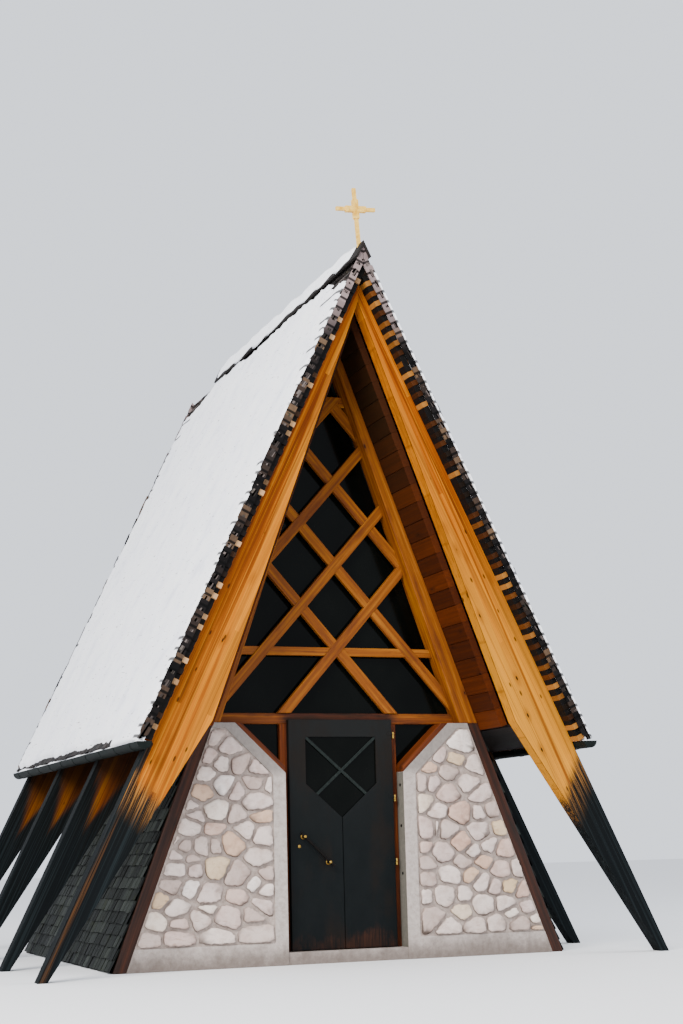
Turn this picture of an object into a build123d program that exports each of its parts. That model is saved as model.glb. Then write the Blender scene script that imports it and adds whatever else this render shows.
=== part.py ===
from build123d import *
import math
import os

os.makedirs("parts", exist_ok=True)

# A small A-frame chapel. X runs across the gable, +Y runs from the door to the rear gable and Z is up.
# The origin lies on the ground, in the middle of the plan. All sizes are in millimetres.

# Laminated timber frames
frame_height = 6320.0
frame_half_width = 2990.0
frame_thickness = 150.0
frame_spacing = 1700.0
frame_count = 4
apex_depth = 200.0
knee_height = 2150.0
knee_half_width = 1480.0
foot_width = 80.0

# Enclosed shell inside the frames
soffit_thickness = 70.0
soffit_end_height = 2110.0
soffit_setback = 190.0
shell_thickness = 108.0
porch_depth = 640.0
eave_board_thickness = 25.0

# Floor
floor_height = 110.0

# Stone walls and the members at the gable ends
wall_depth = 300.0
wall_top = 2180.0
gable_depth = 220.0
rafter_apex_drop = 220.0
rafter_foot_width = 180.0
shoulder_half_width = 1075.0
shoulder_low = 1720.0
diagonal_trim_thickness = 45.0
transom_height = 100.0
transom_depth = 100.0
transom_recess = 151.0

# Lattice and glass
lattice_recess = 125.0
lattice_depth = 60.0
lattice_bar = 100.0
lattice_diamond_width = 715.0
lattice_rows = 4
lattice_first_rise = 615.0
lattice_last_drop = 385.0
collar_rise = 545.0
collar_height = 80.0
top_collar_rise = 66.0
top_collar_height = 98.0
glass_thickness = 12.0
glass_clearance = 6.0

# Door
door_width = 1044.0
door_height = 2100.0
door_thickness = 55.0
door_floor_gap = 8.0
door_back_gap = 6.0
doorway_half_width = 500.0
jamb_half_width = 590.0
window_half_width = 355.0
window_head_drop = 163.0
window_side_height = 435.0
window_point_height = 315.0
window_bar = 28.0
window_bar_drop = 530.0
window_pane_thickness = 10.0
window_pane_recess = 25.0

# Door fittings
hinge_edge_gap = 13.0
hinge_axis_offset = 8.0
hinge_radius = 9.0
hinge_pin_radius = 4.0
hinge_pin_clearance = 0.05
hinge_leaf_thickness = 4.0
hinge_leaf_width = 50.0
hinge_height = 60.0
hinge_play = 0.5
hinge_low_rise = 772.0
hinge_middle_rise = 1362.0
hinge_high_rise = 1952.0
pull_inner_reach = 115.0
pull_outer_reach = 435.0
pull_low_rise = 748.0
pull_high_rise = 1057.0
pull_radius = 13.0
pull_standoff = 55.0
pull_foot_inset = 55.0
pull_foot_radius = 17.0
lock_rise = 932.0
lock_radius = 27.0
lock_thickness = 8.0

# Roof
deck_thickness = 70.0
shingle_thickness = 60.0
eave_height = 1960.0
shingle_drip = 30.0
verge_overhang = 150.0
shingle_overhang = 164.0
ridge_cap_thickness = 20.0
ridge_cap_width = 135.0
ridge_cap_overhang = 185.0
ridge_cap_rear_gap = 1000.0

# Gutters
gutter_radius = 66.0
gutter_wall = 4.0
gutter_drop = 32.0
gutter_clearance = 4.0
gutter_overhang = 210.0
bracket_width = 30.0
bracket_thickness = 4.0
bracket_pitch = 580.0
bracket_arm_height = 45.0

# Cross on the ridge
cross_height = 560.0
cross_span = 400.0
cross_arm_height = 350.0
cross_bar = 34.0
cross_depth = 30.0
cross_core_width = 210.0
cross_core_height = 190.0
cross_core_bar = 56.0
cross_core_depth = 44.0
cross_setback = 125.0
cross_lean = 4.0
cross_root = 120.0

# Values worked out from the sizes above
outer_slope = frame_height / frame_half_width
inner_apex = frame_height - apex_depth
inner_slope = (inner_apex - knee_height) / knee_half_width
inner_stretch = math.hypot(1, inner_slope)
outer_stretch = math.hypot(1, outer_slope)
shell_outer_apex = inner_apex - soffit_thickness * inner_stretch
shell_inner_apex = shell_outer_apex - shell_thickness * inner_stretch
front = -((frame_count - 1) * frame_spacing + frame_thickness) / 2
wall_front = front + porch_depth
shell_front = wall_front + gable_depth
transom_front = wall_front + transom_recess
door_back = transom_front - door_back_gap
door_front = door_back - door_thickness
door_bottom = floor_height + door_floor_gap
door_top = door_bottom + door_height
window_top = door_top - window_head_drop
window_shoulder = window_top - window_side_height
window_tip = window_shoulder - window_point_height
hinge_levels = [door_bottom + rise for rise in (hinge_low_rise, hinge_middle_rise, hinge_high_rise)]
transom_top = wall_top + transom_height


def on_line(apex, slope, height):
    """Half width of a pair of sloping lines at a height."""
    return (apex - height) / slope


rafter_inner_apex = shell_outer_apex - rafter_apex_drop
rafter_foot_inner = on_line(shell_outer_apex, inner_slope, wall_top) - rafter_foot_width
rafter_slope = (rafter_inner_apex - wall_top) / rafter_foot_inner
lattice_first = transom_top + lattice_first_rise
lattice_last = rafter_inner_apex - lattice_last_drop
lattice_pitch = (lattice_last - lattice_first) / (lattice_rows - 1)
lattice_slope = lattice_pitch / lattice_diamond_width
lattice_top = lattice_last + top_collar_rise


def roof_edge(height, drip):
    """Lower end of a roof layer, at a distance above the frames and down the slope from the eave."""
    eave = Vector(on_line(frame_height, outer_slope, eave_height), eave_height)
    outward = Vector(outer_slope, 1) / outer_stretch
    downhill = Vector(1, -outer_slope) / outer_stretch
    return eave + outward * height + downhill * drip


roof_build_up = deck_thickness + shingle_thickness
gutter_top = roof_edge(roof_build_up, shingle_drip).Y - gutter_drop
gutter_reach = gutter_radius + bracket_thickness + gutter_clearance
gutter_centre_x = on_line(frame_height, outer_slope, gutter_top) + gutter_reach * outer_stretch / outer_slope


def prism(points, y_start, depth):
    """A section drawn in X and Z, drawn out along +Y."""
    section = Plane.XZ * Polygon(*points, align=None)
    return Pos(0, y_start, 0) * extrude(section, amount=depth, dir=(0, 1, 0))


def left_of(shape):
    """The same piece on the left side."""
    return mirror(shape, about=Plane.YZ)


def rear_of(shape):
    """The same piece at the rear gable."""
    return mirror(shape, about=Plane.XZ)


def group(shapes):
    """Separate solids that share a node."""
    return Compound(children=list(shapes))


def block(x_range, y_range, z_range):
    """A plain box between two corners."""
    size = [high - low for low, high in (x_range, y_range, z_range)]
    corner = Pos(x_range[0], y_range[0], z_range[0])
    return corner * Box(*size, align=(Align.MIN, Align.MIN, Align.MIN))


def write(shape, name):
    export_step(shape, f"parts/{name}.step")


def write_pair(shape, name):
    write(shape, f"{name}_right")
    write(left_of(shape), f"{name}_left")


# Frames: straight outer edge, inner edge that is widest at the knee
def half_frame(index):
    section = [
        (0, frame_height),
        (frame_half_width, 0),
        (frame_half_width - foot_width, 0),
        (knee_half_width, knee_height),
        (0, inner_apex),
    ]
    return prism(section, front + index * frame_spacing, frame_thickness)


# Shell: side walls that lean up to the ridge, with the soffit between them and the frames
def sloped_panel(apex_outside, apex_inside, low, y_start, depth):
    section = [
        (0, apex_inside),
        (0, apex_outside),
        (on_line(apex_outside, inner_slope, low), low),
        (on_line(apex_inside, inner_slope, low), low),
    ]
    return prism(section, y_start, depth)


def side_wall():
    return sloped_panel(shell_outer_apex, shell_inner_apex, 0, shell_front, -2 * shell_front)


def soffit():
    y_start = front + soffit_setback
    return sloped_panel(inner_apex, shell_outer_apex, soffit_end_height, y_start, -2 * y_start)


def eave_boards():
    x_in = on_line(inner_apex, inner_slope, soffit_end_height)
    x_out = on_line(frame_height, outer_slope, eave_height)
    section = [
        (x_in, soffit_end_height),
        (x_out, eave_height),
        (x_out, eave_height + eave_board_thickness),
        (on_line(inner_apex, inner_slope, soffit_end_height + eave_board_thickness),
         soffit_end_height + eave_board_thickness),
    ]
    bay = frame_spacing - frame_thickness
    starts = [front + index * frame_spacing + frame_thickness for index in range(frame_count - 1)]
    roof_side = prism([(x_in, 0), (x_out, eave_height), (0, frame_height), (0, 0)], front, -2 * front)
    return group(prism(section, y_start, bay) & roof_side for y_start in starts)


# Roof layers, each between two distances above the frames' outer edge
def roof_layer(low, high, drip, overhang):
    edge_high = roof_edge(high, drip)
    edge_low = roof_edge(low, drip)
    section = [
        (0, frame_height + low * outer_stretch),
        (0, frame_height + high * outer_stretch),
        (edge_high.X, edge_high.Y),
        (edge_low.X, edge_low.Y),
    ]
    y_start = front - overhang
    return prism(section, y_start, -2 * y_start)


def roof_deck():
    return roof_layer(0, deck_thickness, 0, verge_overhang)


def shingles():
    return roof_layer(deck_thickness, roof_build_up, shingle_drip, shingle_overhang)


def ridge_cap():
    apex_low = frame_height + roof_build_up * outer_stretch
    apex_high = apex_low + ridge_cap_thickness * outer_stretch
    downhill = Vector(1, -outer_slope) / outer_stretch * ridge_cap_width
    outward = Vector(outer_slope, 1) / outer_stretch * ridge_cap_thickness
    foot = Vector(0, apex_low) + downhill
    edge = foot + outward
    section = [
        (0, apex_low),
        (foot.X, foot.Y),
        (edge.X, edge.Y),
        (0, apex_high),
        (-edge.X, edge.Y),
        (-foot.X, foot.Y),
    ]
    y_start = front - ridge_cap_overhang
    return prism(section, y_start, -front + shingle_overhang - ridge_cap_rear_gap - y_start)


# Cross: a slim bar each way with a thicker core
def cross(cap):
    apex = frame_height + (roof_build_up + ridge_cap_thickness) * outer_stretch
    slim = Box(cross_bar, cross_depth, cross_height + cross_root)
    slim = Pos(0, 0, (cross_height - cross_root) / 2) * slim
    arm = Pos(0, 0, cross_arm_height) * Box(cross_span, cross_depth, cross_bar)
    core_arm = Pos(0, 0, cross_arm_height) * Box(cross_core_width, cross_core_depth, cross_core_bar)
    core_post = Pos(0, 0, cross_arm_height) * Box(cross_core_bar, cross_core_depth, cross_core_height)
    whole = Rot(0, -cross_lean, 0) * (slim + arm + core_arm + core_post)
    standing = Pos(0, front - ridge_cap_overhang + cross_setback, apex) * whole
    return (standing - cap - ridge_core()).solids().sort_by(Axis.Z)[-1]


def ridge_core():
    """What lies under the ridge cap, where the root of the cross stops."""
    high = frame_height + roof_build_up * outer_stretch
    half = on_line(high, outer_slope, frame_height - cross_root)
    section = [(0, high), (half, frame_height - cross_root), (-half, frame_height - cross_root)]
    return prism(section, front - ridge_cap_overhang, -2 * (front - ridge_cap_overhang))


# Half-round gutter with its ends and brackets
def half_tube(outer, inner, y_start, depth):
    disc = Circle(outer) - Circle(inner) if inner else Circle(outer)
    lower = disc & Pos(0, -outer / 2) * Rectangle(2 * outer, outer)
    ring = extrude(Plane.XZ * lower, amount=depth, dir=(0, 1, 0))
    return Pos(gutter_centre_x, y_start, gutter_top) * ring


def gutter(deck, cover):
    y_start = front - gutter_overhang
    length = -2 * y_start
    trough = half_tube(gutter_radius, gutter_radius - gutter_wall, y_start, length)
    end = half_tube(gutter_radius, 0, y_start, gutter_wall)
    trough = trough + end + rear_of(end)
    bays = math.ceil((length - bracket_pitch) / bracket_pitch)
    step = (length - bracket_pitch) / bays
    x_eave = on_line(frame_height, outer_slope, eave_height)
    frames = prism([(0, 0), (frame_half_width, 0), (0, frame_height)], y_start, length)
    for index in range(bays + 1):
        y_mid = y_start + bracket_pitch / 2 + index * step
        y_low = y_mid - bracket_width / 2
        ring = half_tube(gutter_radius + bracket_thickness, gutter_radius - gutter_wall, y_low, bracket_width)
        arm = block(
            (x_eave, gutter_centre_x - gutter_radius + gutter_wall / 2),
            (y_low, y_low + bracket_width),
            (gutter_top - bracket_arm_height, eave_height + deck_thickness),
        )
        bore = Pos(gutter_centre_x, y_low, gutter_top) * (
            Rot(-90, 0, 0) * Cylinder(gutter_radius - gutter_wall, 4 * bracket_width)
        )
        trough = trough + ring + (arm - bore - deck - cover - frames)
    return trough


# Stone walls
def front_wall():
    section = [
        (jamb_half_width, 0),
        (on_line(shell_inner_apex, inner_slope, 0), 0),
        (on_line(shell_inner_apex, inner_slope, wall_top), wall_top),
        (shoulder_half_width, wall_top),
        (jamb_half_width, shoulder_low),
    ]
    return prism(section, wall_front, wall_depth)


def rear_wall():
    low = on_line(shell_inner_apex, inner_slope, 0)
    high = on_line(shell_inner_apex, inner_slope, wall_top)
    section = [(-low, 0), (low, 0), (high, wall_top), (-high, wall_top)]
    return rear_of(prism(section, wall_front, wall_depth))


def floor_slab():
    low = on_line(shell_inner_apex, inner_slope, 0)
    high = on_line(shell_inner_apex, inner_slope, floor_height)
    room_start = wall_front + wall_depth
    section = [(-low, 0), (low, 0), (high, floor_height), (-high, floor_height)]
    room = prism(section, room_start, -2 * room_start)
    threshold = block(
        (-jamb_half_width, jamb_half_width), (wall_front, room_start), (0, floor_height)
    )
    return room + threshold


def wall_edges():
    section = [
        (on_line(shell_inner_apex, inner_slope, 0), 0),
        (on_line(shell_outer_apex, inner_slope, 0), 0),
        (on_line(shell_outer_apex, inner_slope, wall_top), wall_top),
        (on_line(shell_inner_apex, inner_slope, wall_top), wall_top),
    ]
    edge = prism(section, wall_front, gable_depth)
    return group([edge, rear_of(edge)])


# Timber of the gables
def gable_rafters():
    section = [
        (0, rafter_inner_apex),
        (0, shell_outer_apex),
        (on_line(shell_outer_apex, inner_slope, wall_top), wall_top),
        (rafter_foot_inner, wall_top),
    ]
    rafter = prism(section, wall_front, gable_depth)
    return group([rafter, rear_of(rafter)])


def transom():
    section = [
        (-rafter_foot_inner, wall_top),
        (rafter_foot_inner, wall_top),
        (on_line(rafter_inner_apex, rafter_slope, transom_top), transom_top),
        (-on_line(rafter_inner_apex, rafter_slope, transom_top), transom_top),
    ]
    return prism(section, transom_front, transom_depth)


def door_posts():
    post = block(
        (doorway_half_width, jamb_half_width),
        (transom_front, transom_front + transom_depth),
        (floor_height, wall_top),
    )
    return group([post, left_of(post)])


def diagonal_line():
    """Upper edge of the diagonal trim, at the jamb and at the transom."""
    run = shoulder_half_width - jamb_half_width
    rise = wall_top - shoulder_low
    lift = diagonal_trim_thickness * math.hypot(run, rise) / run
    return (jamb_half_width, shoulder_low + lift), (shoulder_half_width - lift * run / rise, wall_top)


def diagonal_trims():
    low_end, high_end = diagonal_line()
    section = [
        (jamb_half_width, shoulder_low),
        (shoulder_half_width, wall_top),
        high_end,
        low_end,
    ]
    trim = prism(section, wall_front, wall_depth)
    return group([trim, left_of(trim)])


# Lattice: two families of diagonal bars and two collars, trimmed to the opening
def lattice_region():
    foot = on_line(rafter_inner_apex, rafter_slope, transom_top)
    head = on_line(rafter_inner_apex, rafter_slope, lattice_top)
    section = [(-foot, transom_top), (foot, transom_top), (head, lattice_top), (-head, lattice_top)]
    return prism(section, wall_front + lattice_recess, lattice_depth)


def lattice():
    y_start = wall_front + lattice_recess
    reach = frame_half_width
    half = lattice_bar * math.hypot(1, lattice_slope) / 2
    bars = None
    for row in range(lattice_rows):
        height = lattice_first + row * lattice_pitch
        run = reach if row else reach / 2
        section = [
            (-run, height + run * lattice_slope - half),
            (-run, height + run * lattice_slope + half),
            (run, height - run * lattice_slope + half),
            (run, height - run * lattice_slope - half),
        ]
        bar = prism(section, y_start, lattice_depth)
        pair = bar + left_of(bar)
        bars = pair if bars is None else bars + pair
    for low, high in (
        (transom_top + collar_rise, transom_top + collar_rise + collar_height),
        (lattice_top - top_collar_height, lattice_top),
    ):
        bars = bars + block((-reach, reach), (y_start, y_start + lattice_depth), (low, high))
    return bars & lattice_region()


def gable_glass():
    apex = shell_inner_apex - glass_clearance * inner_stretch
    foot = on_line(apex, inner_slope, transom_top)
    section = [(-foot, transom_top), (foot, transom_top), (0, apex)]
    return prism(section, shell_front, glass_thickness)


def side_pane():
    low_end, high_end = diagonal_line()
    section = [low_end, high_end, (jamb_half_width, wall_top)]
    return prism(section, transom_front + (transom_depth - glass_thickness) / 2, glass_thickness)


# Door leaf with its pointed window, closed by a pane behind two crossing bars
def window_outline():
    return [
        (-window_half_width, window_top),
        (-window_half_width, window_shoulder),
        (0, window_tip),
        (window_half_width, window_shoulder),
        (window_half_width, window_top),
    ]


def door_leaf():
    half = door_width / 2
    slab = block((-half, half), (door_front, door_back), (door_bottom, door_bottom + door_height))
    slab = slab - prism(window_outline(), door_front, door_thickness)
    slope = window_bar_drop / (window_half_width + window_half_width / 2)
    width = window_bar * math.hypot(1, slope) / 2
    run = 2 * window_half_width
    section = [
        (-window_half_width, window_top - width),
        (-window_half_width, window_top + width),
        (-window_half_width + run, window_top - run * slope + width),
        (-window_half_width + run, window_top - run * slope - width),
    ]
    opening = prism(window_outline(), door_front, door_thickness)
    bar = prism(section, door_front, window_pane_recess) & opening
    return slab + bar + left_of(bar)


def door_glass():
    return prism(window_outline(), door_front + window_pane_recess, window_pane_thickness)


# Pull bar on two feet, and a round lock plate
def door_pull():
    low = Vector(-pull_inner_reach, door_front - pull_standoff, door_bottom + pull_low_rise)
    high = Vector(-pull_outer_reach, door_front - pull_standoff, door_bottom + pull_high_rise)
    along = (high - low).normalized()
    bar = Solid.make_cylinder(pull_radius, (high - low).length, Plane(low, z_dir=along))
    for end, way in ((low, along), (high, along * -1)):
        foot = end + way * pull_foot_inset
        bar = bar + Solid.make_cylinder(pull_foot_radius, pull_standoff, Plane(foot, z_dir=(0, 1, 0)))
    return bar


def door_lock():
    centre = Vector(-pull_outer_reach, door_front - lock_thickness, door_bottom + lock_rise)
    return Solid.make_cylinder(lock_radius, lock_thickness, Plane(centre, z_dir=(0, 1, 0)))


# Hinges: the lower knuckle and its pin stand on the post, the upper one carries the leaf
hinge_x = door_width / 2 + hinge_edge_gap
hinge_y = door_front - hinge_axis_offset


def knuckle(radius, low, high):
    return Solid.make_cylinder(radius, high - low, Plane((hinge_x, hinge_y, low)))


def hinge_posts():
    pieces = []
    for level in hinge_levels:
        low = level - hinge_height / 2
        barrel = knuckle(hinge_radius, low, level)
        pin = knuckle(hinge_pin_radius, low, level + hinge_height / 2)
        plate = block(
            (hinge_x - hinge_leaf_thickness / 2, hinge_x + hinge_leaf_thickness / 2),
            (hinge_y, transom_front),
            (low, level),
        )
        pieces.append(barrel + plate + pin)
    return group(pieces)


def hinge_leaves():
    pieces = []
    for level in hinge_levels:
        low = level + hinge_play
        high = level + hinge_height / 2
        plate = block(
            (hinge_x - hinge_edge_gap - hinge_leaf_width, hinge_x),
            (door_front - hinge_leaf_thickness, door_front),
            (low, high),
        )
        bore = knuckle(hinge_pin_radius + hinge_pin_clearance, low, high)
        pieces.append(knuckle(hinge_radius, low, high) + plate - bore)
    return group(pieces)


for index in range(frame_count):
    write_pair(half_frame(index), f"frame_{index + 1}")

write_pair(side_wall(), "side_wall")
write_pair(soffit(), "soffit")
write(group([eave_boards(), left_of(eave_boards())]), "eave_boards")

deck = roof_deck()
cover = shingles()
cap = ridge_cap()
write_pair(deck, "roof_deck")
write_pair(cover, "roof_shingles")
write(cap, "ridge_cap")
write(cross(cap), "cross")
write_pair(gutter(deck, cover), "gutter")

write_pair(front_wall(), "front_wall")
write(rear_wall(), "rear_wall")
write(floor_slab(), "floor_slab")
write_pair(wall_edges(), "wall_edge")

write_pair(gable_rafters(), "gable_rafter")
write(transom(), "front_transom")
write(rear_of(transom()), "rear_transom")
write(door_posts(), "door_posts")
write(diagonal_trims(), "diagonal_trims")
write(lattice(), "front_lattice")
write(rear_of(lattice()), "rear_lattice")
write(group([gable_glass(), side_pane(), left_of(side_pane())]), "front_glass")
write(rear_of(gable_glass()), "rear_glass")

write(door_leaf(), "door_leaf")
write(door_glass(), "door_glass")
write(door_pull(), "door_pull")
write(door_lock(), "door_lock")
write(hinge_posts(), "hinge_posts")
write(hinge_leaves(), "hinge_leaves")
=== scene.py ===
# %% [markdown]
# # A small A-frame chapel
#
# Four laminated timber frames carry a steep shingled roof. Between them stands a narrow shell of dark
# shingled walls, with a gable of rubble stone, timber lattice and glass. The construction model gives the
# shape and place of every big piece, and this script gives each one its surface and the fine pieces.

import math
import random

import bmesh
import bpy
import numpy as np
from mathutils import Matrix, Vector, noise


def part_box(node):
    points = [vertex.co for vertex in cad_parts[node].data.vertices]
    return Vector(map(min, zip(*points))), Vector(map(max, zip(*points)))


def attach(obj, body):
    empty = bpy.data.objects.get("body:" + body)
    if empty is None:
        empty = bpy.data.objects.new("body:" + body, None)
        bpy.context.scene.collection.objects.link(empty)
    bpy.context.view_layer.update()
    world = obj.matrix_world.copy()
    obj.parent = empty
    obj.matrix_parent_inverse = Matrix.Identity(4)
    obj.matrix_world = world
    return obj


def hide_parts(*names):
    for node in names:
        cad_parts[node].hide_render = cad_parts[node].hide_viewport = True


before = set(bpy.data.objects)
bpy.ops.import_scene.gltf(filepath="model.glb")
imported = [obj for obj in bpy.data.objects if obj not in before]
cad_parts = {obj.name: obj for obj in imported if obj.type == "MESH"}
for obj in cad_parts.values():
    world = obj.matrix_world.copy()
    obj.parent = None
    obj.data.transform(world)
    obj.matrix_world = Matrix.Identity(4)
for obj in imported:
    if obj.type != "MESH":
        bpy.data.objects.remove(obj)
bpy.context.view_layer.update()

# %% [markdown]
# The slopes and levels of the building are read from the boxes of its pieces. A frame's outer edge runs
# from its foot to its tip, and the soffit and side wall show the steeper slope of the shell inside it.
# Later steps place boards, stones and shingles from these few values.

# %% Read the driving sizes
frame_low, frame_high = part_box("frame_1_right")
ridge_z, foot_x, frame_front = frame_high.z, frame_high.x, frame_low.y
frame_depth = frame_high.y - frame_front
frame_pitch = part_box("frame_2_right")[0].y - frame_front
roof_slope = ridge_z / foot_x
roof_stretch = math.hypot(1, roof_slope)
eave_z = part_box("roof_deck_right")[0].z
side_wall_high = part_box("side_wall_right")[1]
wall_x, shell_tip = side_wall_high.x, side_wall_high.z
shell_slope = shell_tip / wall_x
shell_stretch = math.hypot(1, shell_slope)
soffit_low, soffit_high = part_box("soffit_right")
wall_low, wall_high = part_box("front_wall_right")
shell_inner_tip = wall_high.x * shell_slope
jamb_x, gable_y, wall_top = wall_low.x, wall_low.y, wall_high.z
door_low, door_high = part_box("door_leaf")
glass_low, glass_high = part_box("door_glass")
SIDES = {"right": 1, "left": -1}
ENDS = {"front": 1, "rear": -1}


def edge_x(tip, slope, z):
    """Half width of a pair of lines that lean together, at a height."""
    return (tip - z) / slope


eave_x = edge_x(ridge_z, roof_slope, eave_z)
roof_angle, shell_angle = (math.degrees(math.atan(slope)) for slope in (roof_slope, shell_slope))
print(f"roof slope {roof_angle:.1f}, shell slope {shell_angle:.1f}")

# %% [markdown]
# The camera stands where the photographer stood: well to the left of the gable, at chest height, looking
# up. Its place, turn and focal length were fitted to the corners of the frames, door and walls. The roll
# is small, and it is applied as a turn about the camera's own line of sight.

# %% Place the camera
FOCAL_PIXELS = 1678.86
PHOTO_HEIGHT = 1024
SENSOR = 36.0
camera_place = Vector((-5.7973, -16.7531, 1.0363))
camera_yaw, camera_pitch, camera_roll = (math.radians(angle) for angle in (-21.536, 11.279, -1.448))

camera_data = bpy.data.cameras.new("camera")
camera_data.sensor_fit = "AUTO"
camera_data.sensor_width = SENSOR
camera_data.lens = FOCAL_PIXELS / PHOTO_HEIGHT * SENSOR
camera = bpy.data.objects.new("camera", camera_data)
bpy.context.scene.collection.objects.link(camera)
turn = Matrix.Rotation(camera_yaw, 4, "Z") @ Matrix.Rotation(math.pi / 2 + camera_pitch, 4, "X")
camera.matrix_world = Matrix.Translation(camera_place) @ turn @ Matrix.Rotation(camera_roll, 4, "Z")
bpy.context.scene.camera = camera
print(f"camera lens {camera_data.lens:.1f} mm at {tuple(round(v, 2) for v in camera_place)}")

# %% [markdown]
# The chapel is shown as a studio model: a plain pale floor, an even pale surround, one large soft light
# from the front left, as on an overcast day, and a weaker one from the right that keeps the shadow side
# readable. Snow light from below is what makes the real beams glow, and the pale floor gives it here.

# %% Studio floor and soft light
FLOOR_HALF = 60.0
floor_mesh = bpy.data.meshes.new("studio_floor")
corners = [(x * FLOOR_HALF, y * FLOOR_HALF, 0) for x, y in ((-1, -1), (1, -1), (1, 1), (-1, 1))]
floor_mesh.from_pydata(corners, [], [(0, 1, 2, 3)])
floor = bpy.data.objects.new("studio_floor", floor_mesh)
bpy.context.scene.collection.objects.link(floor)

surround = bpy.data.worlds.new("surround")
surround.use_nodes = True
surround.node_tree.nodes["Background"].inputs["Color"].default_value = (0.86, 0.91, 1.0, 1)
surround.node_tree.nodes["Background"].inputs["Strength"].default_value = 1.5
bpy.context.scene.world = surround


def soft_light(name, place, target, size, power, colour):
    """A square area light that faces a point."""
    data = bpy.data.lights.new(name, "AREA")
    data.size = size
    data.energy = power
    data.color = colour
    light = bpy.data.objects.new(name, data)
    light.location = place
    light.rotation_euler = (Vector(target) - Vector(place)).to_track_quat("-Z", "Y").to_euler()
    bpy.context.scene.collection.objects.link(light)


soft_light("front_light", (-12, -13, 12), (0, -1, 2.5), 9, 5600, (1.0, 0.97, 0.93))
soft_light("side_light", (14, -6, 9), (0, 0, 2), 9, 1500, (0.92, 0.96, 1.0))
print("studio: floor, surround and 2 soft lights")

# %% [markdown]
# Blender's materials and Geometry Nodes are both graphs of small nodes. One class builds either kind: its
# main method adds a node from its type, its settings and the values of its sockets. Each output comes back
# as a Term, and Python's own operators on Terms add Math nodes, so a formula reads as a formula. Colours
# are written as they look on a screen, 0 to 255, and a socket for a colour gets them made linear.

# %% Graph and Term
def paint(red, green, blue):
    """A screen colour as the linear colour that a shader wants."""
    shares = [value / 255 for value in (red, green, blue)]
    return (*(v / 12.92 if v <= 0.04045 else ((v + 0.055) / 1.055) ** 2.4 for v in shares), 1.0)


def find_socket(sockets, key):
    """A socket by place, identifier or name."""
    if isinstance(key, int):
        return sockets[key]
    return next((socket for socket in sockets if socket.identifier == key), None) or sockets[key]


def operator(operation, swapped=False):
    """A method that adds one Math node."""
    def apply(self, *others):
        terms = (*others, self) if swapped else (self, *others)
        return self.graph.node("ShaderNodeMath", {"operation": operation}, dict(enumerate(terms)))

    return apply


class Term:
    """An output socket that takes part in formulas."""

    def __init__(self, graph, socket):
        self.graph = graph
        self.socket = socket

    __add__ = __radd__ = operator("ADD")
    __mul__ = __rmul__ = operator("MULTIPLY")
    __sub__, __rsub__ = operator("SUBTRACT"), operator("SUBTRACT", swapped=True)
    __truediv__, __rtruediv__ = operator("DIVIDE"), operator("DIVIDE", swapped=True)
    floor = operator("FLOOR")
    fract = operator("FRACT")
    size = operator("ABSOLUTE")
    above = operator("GREATER_THAN")
    lower_of = operator("MINIMUM")
    higher_of = operator("MAXIMUM")

    def ease(self, start, end):
        """0 before start, 1 after end and a smooth step between them."""
        inputs = {"Value": self, "From Min": start, "From Max": end}
        return self.graph.node("ShaderNodeMapRange", {"interpolation_type": "SMOOTHSTEP"}, inputs)


class Graph:
    """A node tree that is being built."""

    def __init__(self, tree):
        self.tree = tree

    def node(self, kind, settings=None, inputs=None, output=0):
        made = self.tree.nodes.new(kind)
        for name, value in (settings or {}).items():
            if name == "stops":
                self.set_stops(made.color_ramp, value)
            else:
                setattr(made, name, value)
        for key, value in (inputs or {}).items():
            self.put(find_socket(made.inputs, key), value)
        return Term(self, find_socket(made.outputs, output))

    def put(self, socket, value):
        """Links or sets a socket. Three numbers are a screen colour."""
        if isinstance(value, Term):
            self.tree.links.new(value.socket, socket)
        else:
            socket.default_value = paint(*value) if isinstance(value, tuple) and len(value) == 3 else value

    def set_stops(self, ramp, stops):
        while len(ramp.elements) < len(stops):
            ramp.elements.new(0.5)
        for element, (place, colour) in zip(ramp.elements, stops):
            element.position = place
            element.color = paint(*colour)

    def vector(self, x, y, z):
        return self.node("ShaderNodeCombineXYZ", inputs={0: x, 1: y, 2: z})


print("Graph and Term are ready")

# %% [markdown]
# A Finish is a Graph round one Principled shader. It adds the few patterns that every material here is
# made from: stretched noise for grain and streaks, cells for knots and chips, random numbers for boards,
# and coats of paint, each with the share of it that covers.

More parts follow.
